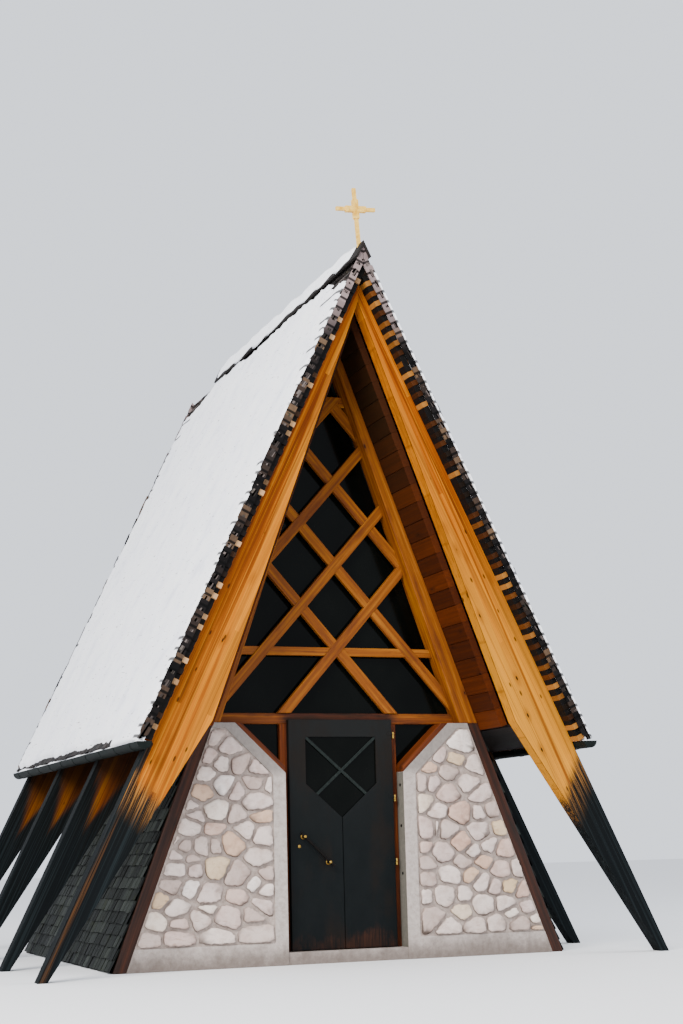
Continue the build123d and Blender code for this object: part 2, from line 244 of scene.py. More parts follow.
# %% Finish
class Finish(Graph):
    """A material and the patterns that it is made from."""

    def __init__(self, name, specular, metallic=0.0):
        self.material = bpy.data.materials.new(name)
        self.material.use_nodes = True
        super().__init__(self.material.node_tree)
        self.shader = self.tree.nodes["Principled BSDF"]
        self.shader.inputs["Specular IOR Level"].default_value = specular
        self.shader.inputs["Metallic"].default_value = metallic

    def place(self):
        """The point on the object as three numbers."""
        return self.parts(self.node("ShaderNodeTexCoord", output="Object"))

    def attribute(self, name):
        """A vector that the mesh carries, as three numbers."""
        return self.parts(self.node("ShaderNodeAttribute", {"attribute_name": name}, output="Vector"))

    def parts(self, vector):
        split = self.node("ShaderNodeSeparateXYZ", inputs={0: vector})
        return [Term(self, socket) for socket in split.socket.node.outputs]

    def noise(self, x, y, z, detail=3.0, rough=0.55):
        inputs = {"Vector": self.vector(x, y, z), "Scale": 1.0, "Detail": detail, "Roughness": rough}
        return self.node("ShaderNodeTexNoise", inputs=inputs)

    def cells(self, x, y, z):
        """The distance to the nearest of scattered points, and three random numbers for that point."""
        inputs = {"Vector": self.vector(x, y, z), "Scale": 1.0}
        distance = self.node("ShaderNodeTexVoronoi", inputs=inputs, output="Distance")
        return distance, self.parts(Term(self, distance.socket.node.outputs["Color"]))

    def random(self, x, y, z):
        inputs = {"Vector": self.vector(x, y, z)}
        return self.node("ShaderNodeTexWhiteNoise", {"noise_dimensions": "3D"}, inputs)

    def ramp(self, value, *stops):
        """A colour for a number. Each stop is a place and a screen colour."""
        return self.node("ShaderNodeValToRGB", {"stops": stops}, {"Fac": value})

    def mix(self, factor, first, second, way="MIX"):
        settings = {"data_type": "RGBA", "blend_type": way}
        inputs = {"Factor_Float": factor, "A_Color": first, "B_Color": second}
        return self.node("ShaderNodeMix", settings, inputs, "Result_Color")

    def times(self, first, second):
        return self.mix(1.0, first, second, "MULTIPLY")

    def coats(self, colour, *coats):
        """Lays coats on a colour, each with its cover and its tone."""
        for cover, tone in coats:
            colour = self.mix(cover, colour, tone)
        return colour

    def surface(self, colour, rough, height=None, depth=0.001):
        """Joins the patterns to the shader. Height is 0 to 1 and depth is its size in metres."""
        self.put(self.shader.inputs["Base Color"], colour)
        self.put(self.shader.inputs["Roughness"], rough)
        if height:
            bump = self.node("ShaderNodeBump", inputs={"Height": height, "Distance": depth, "Strength": 1.0})
            self.put(self.shader.inputs["Normal"], bump)
        return self.material


print("Finish is ready")

# %% [markdown]
# Laminated timber is thin boards glued into a thick beam, so its face shows long parallel bands that
# differ a little in tone, with a fine dark glue line between them, knots, and grain that runs the length
# of the beam. The pattern follows the roof slope on both sides, because it reads the distance from the
# middle plane.

# %% Fresh laminated timber
LAMINATION = 0.042
BOARD_LENGTH = 3.4


def grain_pattern(finish, along, across, depth, seed):
    """Streaks, fine grain and knots in wood, from three lengths in metres and a number for each piece."""
    streaks = finish.noise(along * 0.8, across * 34, depth * 30 + seed, detail=4)
    fine = finish.noise(along * 5, across * 210, depth * 160 + seed, detail=2)
    knot_reach, chance = finish.cells(along * 3.1 + seed, across * 8.5, depth * 5 + seed * 0.7)
    chosen = chance[0].above(0.6)
    knots = (1 - knot_reach.ease(0.04, 0.1)) * chosen
    halo = (1 - knot_reach.ease(0.08, 0.36)) * chosen
    return streaks, fine, knots, halo


class BeamPlace:
    """Where a point lies on a half frame, measured along and across the roof slope."""

    def __init__(self, finish):
        x, self.y, self.z = finish.place()
        self.reach = x.size()
        self.right = x.above(0)
        self.behind = self.y.above(frame_front + frame_depth + 0.3)
        self.across = self.reach * (roof_slope / roof_stretch) + (self.z - ridge_z) / roof_stretch
        self.along = self.reach / roof_stretch - self.z * (roof_slope / roof_stretch)
        self.seed = ((self.y - frame_front) / frame_pitch + 0.3).floor() * 5.3 + self.right * 2.9
        self.outer_x = (ridge_z - self.z) / roof_slope
        inner_x = (soffit_high.z - self.z) / shell_slope
        self.fraction = (self.outer_x - self.reach) / (self.outer_x - inner_x)
        self.threads = finish.noise(self.along * 0.45, self.across * 95, self.y * 60 + self.seed, detail=2)


def fresh_timber(finish, beam):
    """The colour of sound timber with painted shade behind, its fine grain, and the marks that lie deeper than
    its face.
    """
    along, across, y, z, seed = beam.along, beam.across, beam.y, beam.z, beam.seed
    band = (across / LAMINATION).floor()
    board = ((along + finish.random(band, seed, 0.5) * 2.5) / BOARD_LENGTH).floor()
    tone = finish.random(band, board, seed)
    glue = ((across / LAMINATION).fract() - 0.5).size().ease(0.46, 0.49)
    streaks, fine, knots, halo = grain_pattern(finish, along, across, y, seed)
    speck_reach, chance = finish.cells(along * 4.4 + seed, across * 12.5, y * 7)
    specks = (1 - speck_reach.ease(0.08, 0.15)) * chance[1].above(0.45)

    mixed = streaks * 0.5 + tone * 0.34 + fine * 0.16
    wood = finish.ramp(mixed, (0.27, (98, 40, 0)), (0.42, (132, 62, 0)), (0.56, (164, 86, 0)),
                       (0.74, (190, 116, 2)))
    pale = beam.fraction.ease(0.66, 0.72) * 0.3 + (1 - z.ease(2.0, 4.4)) * (0.12 + beam.right * 0.75)
    seam = (beam.fraction - 0.42).size()
    from_face = y - frame_front
    arris = from_face.above(0.0008) * (1 - from_face.ease(0.008, 0.018))
    wood = finish.coats(
        wood,
        (pale, finish.mix(0.6, wood, (218, 150, 36))),
        (beam.threads.ease(0.57, 0.66) * 0.5, (196, 126, 14)),
        ((1 - beam.threads.ease(0.32, 0.42)) * 0.5, (86, 34, 1)),
        ((1 - seam.ease(0.015, 0.04)) * (0.35 + beam.right * 0.4), (112, 50, 1)),
        (glue * 0.3, (84, 34, 1)),
        (arris * 0.75, (60, 26, 4)),
        (halo * 0.35, (96, 40, 1)),
        (knots, (22, 9, 3)),
        (specks * 0.8, (34, 14, 2)),
    )
    wood = finish.mix(z.ease(4.4, 6.2) * 0.3, wood, finish.times(wood, (232, 200, 150)))
    # Painted shade: the frames behind the front one are a darker copy of the same wood, and near black from the
    # gutter up.
    wood = finish.mix(beam.behind * 0.85, wood, finish.times(wood, (116, 104, 90)))
    wood = finish.mix(z.ease(1.45, 1.95) * beam.behind * 0.75, wood, (24, 16, 8))
    return wood, fine, knots * 0.4 + glue * 0.3


print("boards of", LAMINATION, "m and grain are ready")

# %% [markdown]
# Below the eave, rain has turned the legs black and grey. The two front legs are the ones seen best, so
# the upper edge of the black follows two lines that were measured on them. On the legs behind them it
# spreads from both edges of the leg. Ragged noise along the grain breaks every edge.

# %% Weathered legs
RIGHT_RAIN = {"x": 2.1, "z": 1.85, "lean": 0.34}
LEFT_RAIN = {"x": 1.97, "z": 1.48, "lean": 1.12}
LEFT_RAIN_STRETCH = 1.84
KNEE_X = 1.48
KNEE_Z = 2.15
LEG_LEAN = 0.665


def rain_margin(beam, line):
    """How far a point lies below and outside the upper edge of the black."""
    return beam.reach - line["x"] - (beam.z - line["z"]) * line["lean"]


def rain_mask(beam, ragged):
    """1 where rain has blackened the wood, and the margin from its edge on the front legs."""
    front_left = (1 - beam.right) * (1 - beam.behind)
    right_margin = rain_margin(beam, RIGHT_RAIN)
    left_margin = rain_margin(beam, LEFT_RAIN) / LEFT_RAIN_STRETCH
    margin = right_margin + (left_margin - right_margin) * front_left
    outer_face = beam.across.ease(-0.004, -0.001) * (1 - beam.z.ease(1.86, 1.98)) * 0.3
    left_edge = (beam.across + ragged * 0.03).ease(-0.04, -0.025) * (1 - beam.z.ease(1.93, 1.97))
    raised = margin + (ragged - 0.5) * (0.26 + front_left * 0.14) + outer_face + front_left * left_edge
    leg_inner = KNEE_X + (KNEE_Z - beam.z) * LEG_LEAN
    place_on_leg = (beam.reach - leg_inner) / (beam.outer_x - leg_inner)
    from_middle = (place_on_leg - 0.45).size() - (beam.z - 1.34) * 0.82 + (ragged - 0.5) * 0.45
    behind_wet = from_middle.ease(-0.1, 0.12) * (1 - beam.z.ease(2.0, 2.2))
    return raised.ease(-0.05, 0.07) * (1 - beam.behind) + behind_wet * beam.behind, margin


def weathered_timber(finish, beam, ragged, margin):
    """Black and grey wood, with fresh threads near the edge of the black."""
    along, across, y, seed = beam.along, beam.across, beam.y, beam.seed
    front = 1 - beam.behind
    fan = (1 - margin.ease(0.04, 0.3)) * margin.ease(-0.08, 0.0) * front * (1 - across.above(-0.004))
    strands = finish.noise(along * 1.1, across * 170, y * 60 + seed, detail=3, rough=0.7)
    strip = finish.noise(along * 0.8, across * 60, y * 40 + seed + 7, detail=3)
    edge_strip = (1 - (across + 0.03).size().ease(0.012, 0.03)) * (1 - beam.right) * front
    inside_strip = (1 - (beam.fraction - 0.97).size().ease(0.01, 0.03)) * beam.right * front
    old = finish.ramp(ragged, (0.3, (3, 4, 4)), (0.5, (8, 10, 10)), (0.64, (20, 20, 18)), (0.74, (44, 28, 14)),
                      (0.82, (80, 50, 22)))
    return finish.coats(
        old,
        (margin.ease(0.1, 0.6) * 0.8, (8, 12, 14)),
        (beam.threads.ease(0.48, 0.66) * 0.6, (30, 37, 39)),
        (fan * strands.ease(0.5, 0.58) * 0.9, (150, 100, 44)),
        ((edge_strip + inside_strip) * strip.ease(0.4, 0.6) * strands.ease(0.42, 0.56) * 0.75, (84, 52, 24)),
    )


def laminated_timber():
    finish = Finish("laminated_timber", 0.08)
    beam = BeamPlace(finish)
    ragged = finish.noise(beam.along * 0.4, beam.across * 110, beam.y * 80 + beam.seed, detail=5, rough=0.75)
    wood, fine, marks = fresh_timber(finish, beam)
    wet, margin = rain_mask(beam, ragged)
    colour = finish.mix(wet, wood, weathered_timber(finish, beam, ragged, margin))
    return finish.surface(colour, 0.5 + wet * 0.3 + fine * 0.1, fine * 0.5 + ragged * wet - marks, 0.0015)


def dress(nodes, material):
    """Gives construction pieces their finish."""
    for name in nodes:
        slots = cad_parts[name].data.materials
        slots.clear()
        slots.append(material)


frame_names = [f"frame_{number}_{side}" for number in (1, 2, 3, 4) for side in SIDES]
dress(frame_names, laminated_timber())
print("laminated timber on", len(frame_names), "half frames")

# %% [markdown]
# The sawn timber of the gable is plainer: one grain direction for each bar, small dark knots and reddish
# stains where water runs. Each bar carries its own pattern coordinates in an attribute named grain, so the
# grain follows the bar at any slope. The dark boards beside the stone and the door use the same recipe.

# %% Sawn timber
def sawn_timber(name, tones, stain, stain_amount=0.5, dark_middle=None):
    finish = Finish(name, 0.2)
    along, across, depth = finish.attribute("grain")
    streaks, fine, knots, halo = grain_pattern(finish, along, across, depth, 0.0)
    wood = finish.ramp(streaks * 0.75 + fine * 0.25, *zip((0.32, 0.5, 0.7), tones))
    patches = finish.noise(along * 1.7, across * 9, depth * 4, detail=4, rough=0.65)
    wood = finish.mix(patches.ease(0.52, 0.7) * stain_amount, wood, stain)
    if dark_middle:
        from_middle = finish.place()[0].size() + (patches - 0.5) * 0.3
        dark = finish.ramp(patches, (0.4, (16, 8, 5)), (0.6, (58, 22, 8)))
        wood = finish.mix((1 - from_middle.ease(dark_middle, dark_middle + 0.14)) * 0.9, wood, dark)
    wood = finish.mix(halo * 0.4, wood, stain)
    wood = finish.mix(knots, wood, finish.times(wood, (0.12, 0.08, 0.06, 1)))
    return finish.surface(wood, 0.55 + fine * 0.2, fine * 0.6 + streaks * 0.4 - knots * 0.3, 0.0012)


gable_timber = sawn_timber("gable_timber", ((84, 38, 3), (122, 64, 4), (158, 98, 18)), (66, 22, 4))
wall_trim = sawn_timber("wall_trim", ((24, 14, 10), (46, 25, 17), (72, 36, 20)), (20, 20, 18))
stained_timber = sawn_timber("stained_timber", ((46, 16, 2), (88, 36, 2), (132, 62, 6)), (26, 9, 3), 0.8)
transom_timber = sawn_timber("transom_timber", ((60, 22, 2), (104, 50, 3), (146, 84, 12)), (40, 13, 3),
                             stain_amount=0.7, dark_middle=0.5)
print("sawn timber in 4 tones")

# %% [markdown]
# Nearly every small piece here is a loft: rings of corners, joined one to the next and closed at both
# ends. A bar is an outline in the plane of the gable, drawn out along Y, with its edges chamfered so that
# they catch the light, as a joiner planes them. All bars of one piece share a mesh, and each corner keeps
# its distance along and across the grain.

# %% Lofts and timber bars
def sides_of(outline):
    """Each corner of an outline with the next one."""
    return zip(outline, outline[1:] + outline[:1])


def on_side(outline, side):
    """An outline as it is, or mirrored to the left."""
    return [(x * side, z) for x, z in outline]


def rectangle(low_x, high_x, low_z, high_z):
    return [(low_x, low_z), (high_x, low_z), (high_x, high_z), (low_x, high_z)]


def clip(outline, a, b, limit):
    """The part of an outline where a * x + b * z is at most the limit."""
    kept = []
    for (x0, z0), (x1, z1) in sides_of(outline):
        start = a * x0 + b * z0 - limit
        end = a * x1 + b * z1 - limit
        if start <= 0:
            kept.append((x0, z0))
        if start * end < 0:
            share = start / (start - end)
            kept.append((x0 + (x1 - x0) * share, z0 + (z1 - z0) * share))
    return kept


def loft(sections, tip=None):
    """A closed bmesh through rings of corners. A tip closes the last ring with a fan."""
    shape = bmesh.new()
    rings = [[shape.verts.new(corner) for corner in section] for section in sections]
    shape.faces.new(rings[0])
    for low, high in zip(rings, rings[1:]):
        for index, corner in enumerate(low):
            shape.faces.new((corner, low[index - 1], high[index - 1], high[index]))
    if tip:
        top = shape.verts.new(tip)
        for index, corner in enumerate(rings[-1]):
            shape.faces.new((corner, rings[-1][index - 1], top))
    else:
        shape.faces.new(rings[-1][::-1])
    bmesh.ops.recalc_face_normals(shape, faces=shape.faces)
    return shape


def to_mesh(shape, name):
    """Turns a bmesh into a mesh and frees it."""
    mesh = bpy.data.meshes.new(name)
    shape.to_mesh(mesh)
    shape.free()
    return mesh


class Solids:
    """Collects small solids into one mesh, with a pattern vector at every corner."""

    def __init__(self, attribute="grain"):
        self.attribute = attribute
        self.points = []
        self.faces = []
        self.pattern = []

    def add(self, shape, pattern=tuple):
        """Takes a bmesh, and a function that gives the pattern vector at a point."""
        first = len(self.points)
        shape.verts.index_update()
        for corner in shape.verts:
            self.points.append(tuple(corner.co))
            self.pattern.append(pattern(corner.co))
        for face in shape.faces:
            self.faces.append([first + corner.index for corner in face.verts])
        shape.free()

    def bar(self, outline, near_y, far_y, way=(0, 1), chamfer=0.005):
        """A bar with its grain along a direction in X and Z."""
        shape = loft([[(x, y, z) for x, z in outline] for y in (near_y, far_y)])
        if chamfer:
            bmesh.ops.bevel(shape, geom=list(shape.edges), offset=chamfer, segments=1, affect="EDGES",
                            clamp_overlap=True)
        run = Vector((way[0], 0, way[1])).normalized()
        side = Vector((-run.z, 0, run.x))
        shift = len(self.points) * 0.173
        self.add(shape, lambda point: (point.dot(run) + shift, point.dot(side) + shift * 0.31, point.y))

    def mesh(self, name):
        mesh = bpy.data.meshes.new(name)
        mesh.from_pydata(self.points, [], self.faces)
        values = mesh.attributes.new(self.attribute, "FLOAT_VECTOR", "POINT")
        values.data.foreach_set("vector", [number for vector in self.pattern for number in vector])
        return mesh


def fit_piece(name, form, material, stands_for=(), body="building", smooth=False):
    """Links a finished mesh, or collected solids, as a piece with its finish, body and slot."""
    mesh = form.mesh(name) if isinstance(form, Solids) else form
    piece = bpy.data.objects.new(name, mesh)
    bpy.context.scene.collection.objects.link(piece)
    mesh.materials.clear()
    mesh.materials.append(material)
    if smooth:
        mesh.shade_smooth()
    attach(piece, body)
    if stands_for:
        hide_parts(*stands_for)


print("lofts and bars can be made")

# %% [markdown]
# The gable timber sits inside the stone walls' plane: two rafters and a transom over the door. The lattice
# is three layers: bars that rise to the right run through in front, the other family is let in behind
# them, and the collars lie at the back.

# %% Gable timber
GABLE_DEPTH = 0.22
RAFTER_DROP = 0.22
LATTICE_RECESS = 0.125
LATTICE_DEPTH = 0.06
LET_IN = 0.006
COLLAR_INSET = 0.012
BAR = 0.1
DIAMOND_WIDTH = 0.715
FIRST_RISE = 0.615
ROWS = 4
COLLAR_RISE = 0.545
COLLAR_HEIGHT = 0.08
TOP_COLLAR_RISE = 0.066
TOP_COLLAR_HEIGHT = 0.098

transom_low, transom_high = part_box("front_transom")
rafter_foot = transom_high.x
rafter_tip = shell_tip - RAFTER_DROP
rafter_slope = (rafter_tip - wall_top) / rafter_foot
lattice_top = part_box("front_lattice")[1].z
first_level = transom_high.z + FIRST_RISE
row_pitch = (lattice_top - TOP_COLLAR_RISE - first_level) / (ROWS - 1)
bar_slope = row_pitch / DIAMOND_WIDTH


def in_opening(outline):
    """An outline trimmed to the opening between the rafters, the transom and the top collar."""
    limits = [(0, 1, lattice_top), (rafter_slope, 1, rafter_tip), (-rafter_slope, 1, rafter_tip),
              (0, -1, -transom_high.z)]
    for limit in limits:
        outline = clip(outline, *limit)
    return outline


def lattice_bar(level, lean, run):
    half = BAR * math.hypot(1, bar_slope) / 2
    corners = ((-run, -half), (run, -half), (run, half), (-run, half))
    return in_opening([(x, level + x * bar_slope * lean + shift) for x, shift in corners])


def gable_lattice(front):
    """The lattice of one gable. Front is 1 at the door and -1 at the rear."""
    bars = Solids()
    plane = (gable_y + LATTICE_RECESS) * front

    def add_bar(outline, inset, way, chamfer):
        bars.bar(outline, plane + inset * front, plane + (LATTICE_DEPTH - inset) * front, way, chamfer)

    for lean, inset in ((1, 0.0), (-1, LET_IN)):
        for row in range(ROWS):
            run = foot_x if row else foot_x / 2
            add_bar(lattice_bar(first_level + row * row_pitch, lean, run), inset, (1, bar_slope * lean), 0.004)
    collars = [(transom_high.z + COLLAR_RISE, COLLAR_HEIGHT),
               (lattice_top - TOP_COLLAR_HEIGHT, TOP_COLLAR_HEIGHT)]
    for low, height in collars:
        add_bar(in_opening(rectangle(-foot_x, foot_x, low, low + height)), COLLAR_INSET, (1, 0), 0.003)
    return bars


top_x = edge_x(rafter_tip, rafter_slope, transom_high.z)
transom = [(-rafter_foot, wall_top), (rafter_foot, wall_top), (top_x, transom_high.z), (-top_x, transom_high.z)]
for end, front in ENDS.items():
    fit_piece(f"{end}_lattice_bars", gable_lattice(front), gable_timber, [f"{end}_lattice"])
    beam = Solids()
    beam.bar(transom, transom_low.y * front, transom_high.y * front, (1, 0), 0.006)
    fit_piece(f"{end}_transom_beam", beam, transom_timber, [f"{end}_transom"])

rafter_outer = edge_x(shell_tip, shell_slope, wall_top)
rafter = [(0, rafter_tip), (rafter_foot, wall_top), (rafter_outer, wall_top), (0, shell_tip)]
gable_back = gable_y + GABLE_DEPTH
for side_name, side in SIDES.items():
    rafters = Solids()
    for front in ENDS.values():
        rafters.bar(on_side(rafter, side), gable_y * front, gable_back * front, (-side, shell_slope), 0.007)
    fit_piece(f"rafters_{side_name}", rafters, gable_timber, [f"gable_rafter_{side_name}"])
print("gable timber: rafters, transoms and lattices of", 2 * ROWS + 2, "bars each")

# %% [markdown]
# Shingles, battens and boards all repeat in courses, so one Geometry Nodes tree lays them: points in rows
# and columns, each with one tile on it. Every other row is shifted by half a tile, and a seeded random
# width, lift and slip keep the rows from looking stamped. Each tile gets a random vector named tile, which
# its finish reads, so that no two neighbours have the same tone.

# %% A tree that lays courses
def random_value(graph, low, high, seed):
    """A random number for each point or tile."""
    inputs = {"Min_001": low, "Max_001": high, "Seed": seed}
    return graph.node("FunctionNodeRandomValue", {"data_type": "FLOAT"}, inputs, "Value_001")


def courses_tree():
    tree = bpy.data.node_groups.new("courses", "GeometryNodeTree")
    tree.interface.new_socket(name="Geometry", in_out="OUTPUT", socket_type="NodeSocketGeometry")
    kinds = {"Tile": "Object", "Finish": "Material", "Rows": "Int", "Columns": "Int", "Exposure": "Float",
             "Width": "Float", "Stagger": "Float", "Slip": "Float", "Sway": "Float", "Narrowing": "Float",
             "Lift": "Float", "Seed": "Int"}
    for name, kind in kinds.items():
        tree.interface.new_socket(name=name, in_out="INPUT", socket_type=f"NodeSocket{kind}")
    graph = Graph(tree)
    entry = tree.nodes.new("NodeGroupInput")
    given = {name: Term(graph, entry.outputs[name]) for name in kinds}
    seed = given["Seed"]

    index = graph.node("GeometryNodeInputIndex")
    column = (index / given["Rows"] + 0.0001).floor()
    row = index - column * given["Rows"]
    shift = (row * 0.5).fract() * given["Stagger"] + random_value(graph, -0.5, 0.5, seed) * given["Sway"]
    slip = random_value(graph, -1.0, 1.0, seed + 1) * given["Slip"]
    place = graph.vector((column + shift) * given["Width"], row * given["Exposure"] + slip, 0.0)
    count = given["Rows"] * given["Columns"]
    points = graph.node("GeometryNodePoints", inputs={"Count": count, "Position": place})

    tile = graph.node("GeometryNodeObjectInfo", inputs={"Object": given["Tile"]}, output="Geometry")
    width = 1 - random_value(graph, 0.0, 1.0, seed + 2) * given["Narrowing"]
    tilt = random_value(graph, 0.0, 1.0, seed + 3) * given["Lift"]
    lean = random_value(graph, -0.4, 0.4, seed + 4) * given["Lift"]
    inputs = {"Points": points, "Instance": tile, "Rotation": graph.vector(0 - tilt, 0.0, lean),
              "Scale": graph.vector(width, 1.0, 1.0)}
    laid = graph.node("GeometryNodeInstanceOnPoints", inputs=inputs)
    tones = graph.vector(*(random_value(graph, 0.0, 1.0, seed + 5 + axis) for axis in range(3)))
    settings = {"data_type": "FLOAT_VECTOR", "domain": "INSTANCE"}
    inputs = {"Geometry": laid, "Name": "tile", "Value": tones}
    named = graph.node("GeometryNodeStoreNamedAttribute", settings, inputs)
    real = graph.node("GeometryNodeRealizeInstances", inputs={"Geometry": named})
    done = graph.node("GeometryNodeSetMaterial", inputs={"Geometry": real, "Material": given["Finish"]})
    exit_node = tree.nodes.new("NodeGroupOutput")
    graph.put(exit_node.inputs["Geometry"], done)
    return tree


COURSES = courses_tree()
COURSE_INPUTS = {item.name: item.identifier for item in COURSES.interface.items_tree if item.in_out == "INPUT"}
print("courses tree with", len(COURSE_INPUTS), "inputs and", len(COURSES.nodes), "nodes")

# %% [markdown]
# The tree works on a flat field: X across the tiles, Y up the slope and Z away from it. The result is made
# a plain mesh and then turned onto the slope. The left side is laid with its own seed and mirrored.

# %% Lay courses on a slope
def lay_courses(tile_mesh, material, **sizes):
    """A mesh of tiles in courses on the flat field."""
    tile = bpy.data.objects.new("tile", tile_mesh)
    host = bpy.data.objects.new("courses_host", bpy.data.meshes.new("courses_host"))
    bpy.context.scene.collection.objects.link(host)
    modifier = host.modifiers.new("courses", "NODES")
    modifier.node_group = COURSES
    values = {"Tile": tile, "Finish": material, "Columns": 1, "Width": 1.0}
    values.update(dict.fromkeys(("Stagger", "Slip", "Sway", "Narrowing", "Lift"), 0.0))
    values.update({name.capitalize(): value for name, value in sizes.items()})
    for name, value in values.items():
        modifier[COURSE_INPUTS[name]] = value
    bpy.context.view_layer.update()
    evaluated = host.evaluated_get(bpy.context.evaluated_depsgraph_get())
    mesh = bpy.data.meshes.new_from_object(evaluated)
    bpy.data.objects.remove(host)
    bpy.data.objects.remove(tile)
    return mesh


def wedge(width, length, butt_low, butt_high, tip_high):
    """A shingle that is thick at its butt and thin at its tip."""
    half = width / 2
    ends = ((0, butt_low, butt_high), (length, 0.0, tip_high))
    sections = [[(-half, y, low), (half, y, low), (half, y, high), (-half, y, high)] for y, low, high in ends]
    return to_mesh(loft(sections), "wedge")


def long_board(profile, length):
    """A board along X from its profile in Y and Z."""
    return to_mesh(loft([[(x, y, z) for y, z in profile] for x in (-length / 2, length / 2)]), "long_board")


def slope_ways(slope):
    """The directions up the right-hand slope and out of it."""
    return Vector((-1, 0, slope)).normalized(), Vector((slope, 0, 1)).normalized()


def slope_matrix(tip, slope, low_z, height, start_y):
    """From the flat field to the right-hand slope, at a height above the line of the frames or the shell."""
    uphill, outward = slope_ways(slope)
    origin = Vector((edge_x(tip, slope, low_z), start_y, low_z)) + outward * height
    return Matrix.Translation(origin) @ Matrix((Vector((0, 1, 0)), uphill, outward)).transposed().to_4x4()


def keep_within(mesh, low_y, high_y, slope, side_x=0.0):
    """Cuts tiles at the verges, and mitres those that pass the middle plane."""
    points = np.empty(len(mesh.vertices) * 3)
    mesh.vertices.foreach_get("co", points)
    points = points.reshape(-1, 3)
    points[:, 1] = points[:, 1].clip(low_y, high_y)
    over = np.minimum(points[:, 0] - side_x, 0)
    points[:, 0] -= over
    points[:, 2] += over * slope
    mesh.vertices.foreach_set("co", points.ravel())
    mesh.update()


def mirror_mesh(mesh, across_x, across_y=False):
    """The mesh mirrored across none, one or both planes, with its faces outward again."""
    mesh.transform(Matrix.Diagonal((-1 if across_x else 1, -1 if across_y else 1, 1, 1)))
    if across_x != across_y:
        mesh.flip_normals()


print("courses can be laid")

# %% [markdown]
# Wood shingles weather to grey-brown, each in its own tone, with grain that runs down the slope. The
# courses just above the eave are darker. The roof has 46 courses of about 56 shingles on each side, and
# three layers overlap everywhere.

# %% Shingles on the roof
def shingle_finish(name, tones, mossy, dark_below=None):
    finish = Finish(name, 0.15)
    x, y, z = finish.place()
    first, second, third = finish.attribute("tile")
    grain = finish.noise(x * 6 + first * 20, y * 90, z * 5, detail=4, rough=0.6)
    wood = finish.ramp(grain * 0.45 + first * 0.55, *zip((0.2, 0.5, 0.8), tones))
    growth = finish.noise(x * 3, y * 3, z * 3, detail=5, rough=0.7)
    wood = finish.mix(growth.ease(0.52, 0.7) * second, wood, mossy)
    if dark_below:
        wood = finish.mix((1 - z.ease(dark_below, dark_below + 0.1)) * 0.8, wood, (14, 12, 11))
    return finish.surface(wood, 0.85 - third * 0.15, grain, 0.002)


roof_shingle = shingle_finish("roof_shingle", ((26, 22, 20), (56, 49, 46), (100, 90, 86)), (40, 42, 28), 2.12)
wall_shingle = shingle_finish("wall_shingle", ((10, 12, 11), (21, 24, 22), (42, 46, 42)), (30, 34, 18))

EXPOSURE = 0.105
SHINGLE_LENGTH = 0.25
DECK_HEIGHT = 0.07
FIRST_COURSE_DROP = 0.03
verge_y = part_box("roof_shingles_right")[1].y
roof_rows = int((ridge_z + 0.28 - eave_z) * roof_stretch / roof_slope / EXPOSURE)

for side_name, side in SIDES.items():
    tile = wedge(0.096, SHINGLE_LENGTH, 0.028, 0.050, 0.005)
    mesh = lay_courses(tile, roof_shingle, rows=roof_rows, columns=58, exposure=EXPOSURE, width=0.1,
                       stagger=1.0, slip=0.008, sway=0.3, narrowing=0.2, lift=0.02, seed=11 + side)
    mesh.transform(slope_matrix(ridge_z, roof_slope, eave_z, DECK_HEIGHT + 0.002, -verge_y - 0.05)
                   @ Matrix.Translation((0, -FIRST_COURSE_DROP, 0)))
    keep_within(mesh, -verge_y, verge_y, roof_slope)
    mirror_mesh(mesh, side < 0)
    fit_piece(f"shingles_{side_name}", mesh, roof_shingle, [f"roof_shingles_{side_name}"])
print("roof shingles:", roof_rows, "courses a side")

# %% [markdown]
# The battens run the length of the roof under the shingles, one to a course, and their sawn ends show as
# a row of blocks at the verge. A black sheet under the battens gives painted shade in the gaps between them.
# The ends on the left are nearly black, and those on the right are brown. The soffit is boarded in the same
# direction, with a small V joint between boards, and painted shade darkens it towards the ridge. Their
# grain runs along Y, so this finish reads the point on the object.

# %% Boards along the building
LEFT_ENDS_FROM = 2.74
RIGHT_ENDS_FROM = 2.62


def board_finish(name, tones, stain, end_y=None, painted_shade_from=None, end_tones=False):
    finish = Finish(name, 0.1)
    x, y, z = finish.place()
    first, second, third = finish.attribute("tile")
    streaks, fine, knots, halo = grain_pattern(finish, y + first * 9, z * 1.4, x, second * 7)
    wood = finish.ramp(streaks * 0.55 + first * 0.3 + fine * 0.15, *zip((0.28, 0.5, 0.72), tones))
    wood = finish.mix(halo * 0.5, wood, stain)
    wood = finish.mix(knots * 0.8, wood, finish.times(wood, (0.2, 0.15, 0.12, 1)))
    if painted_shade_from:
        # Painted shade: the soffit darkens towards the ridge.
        wood = finish.mix(z.ease(*painted_shade_from) * 0.85, wood, (24, 17, 5))
    if end_tones:
        # The sawn ends of the battens: near black on the left, brown on the right.
        dark = finish.ramp(second * 0.8 + fine * 0.2, (0.4, (12, 9, 8)), (0.6, (48, 30, 17)),
                           (0.8, (178, 138, 96)))
        warm = finish.ramp(second * 0.75 + fine * 0.25, (0.3, (20, 12, 6)), (0.5, (80, 40, 9)),
                           (0.76, (150, 98, 40)))
        at_end = y.size().above(LEFT_ENDS_FROM + x.above(0) * (RIGHT_ENDS_FROM - LEFT_ENDS_FROM))
        wood = finish.mix(at_end, wood, finish.mix(x.above(0), dark, warm))
    if end_y:
        wood = finish.mix(y.size().above(end_y - 0.002) * 0.3, wood, (70, 28, 4))
    return finish.surface(wood, 0.6 + fine * 0.2, fine + streaks * 0.5, 0.0012)


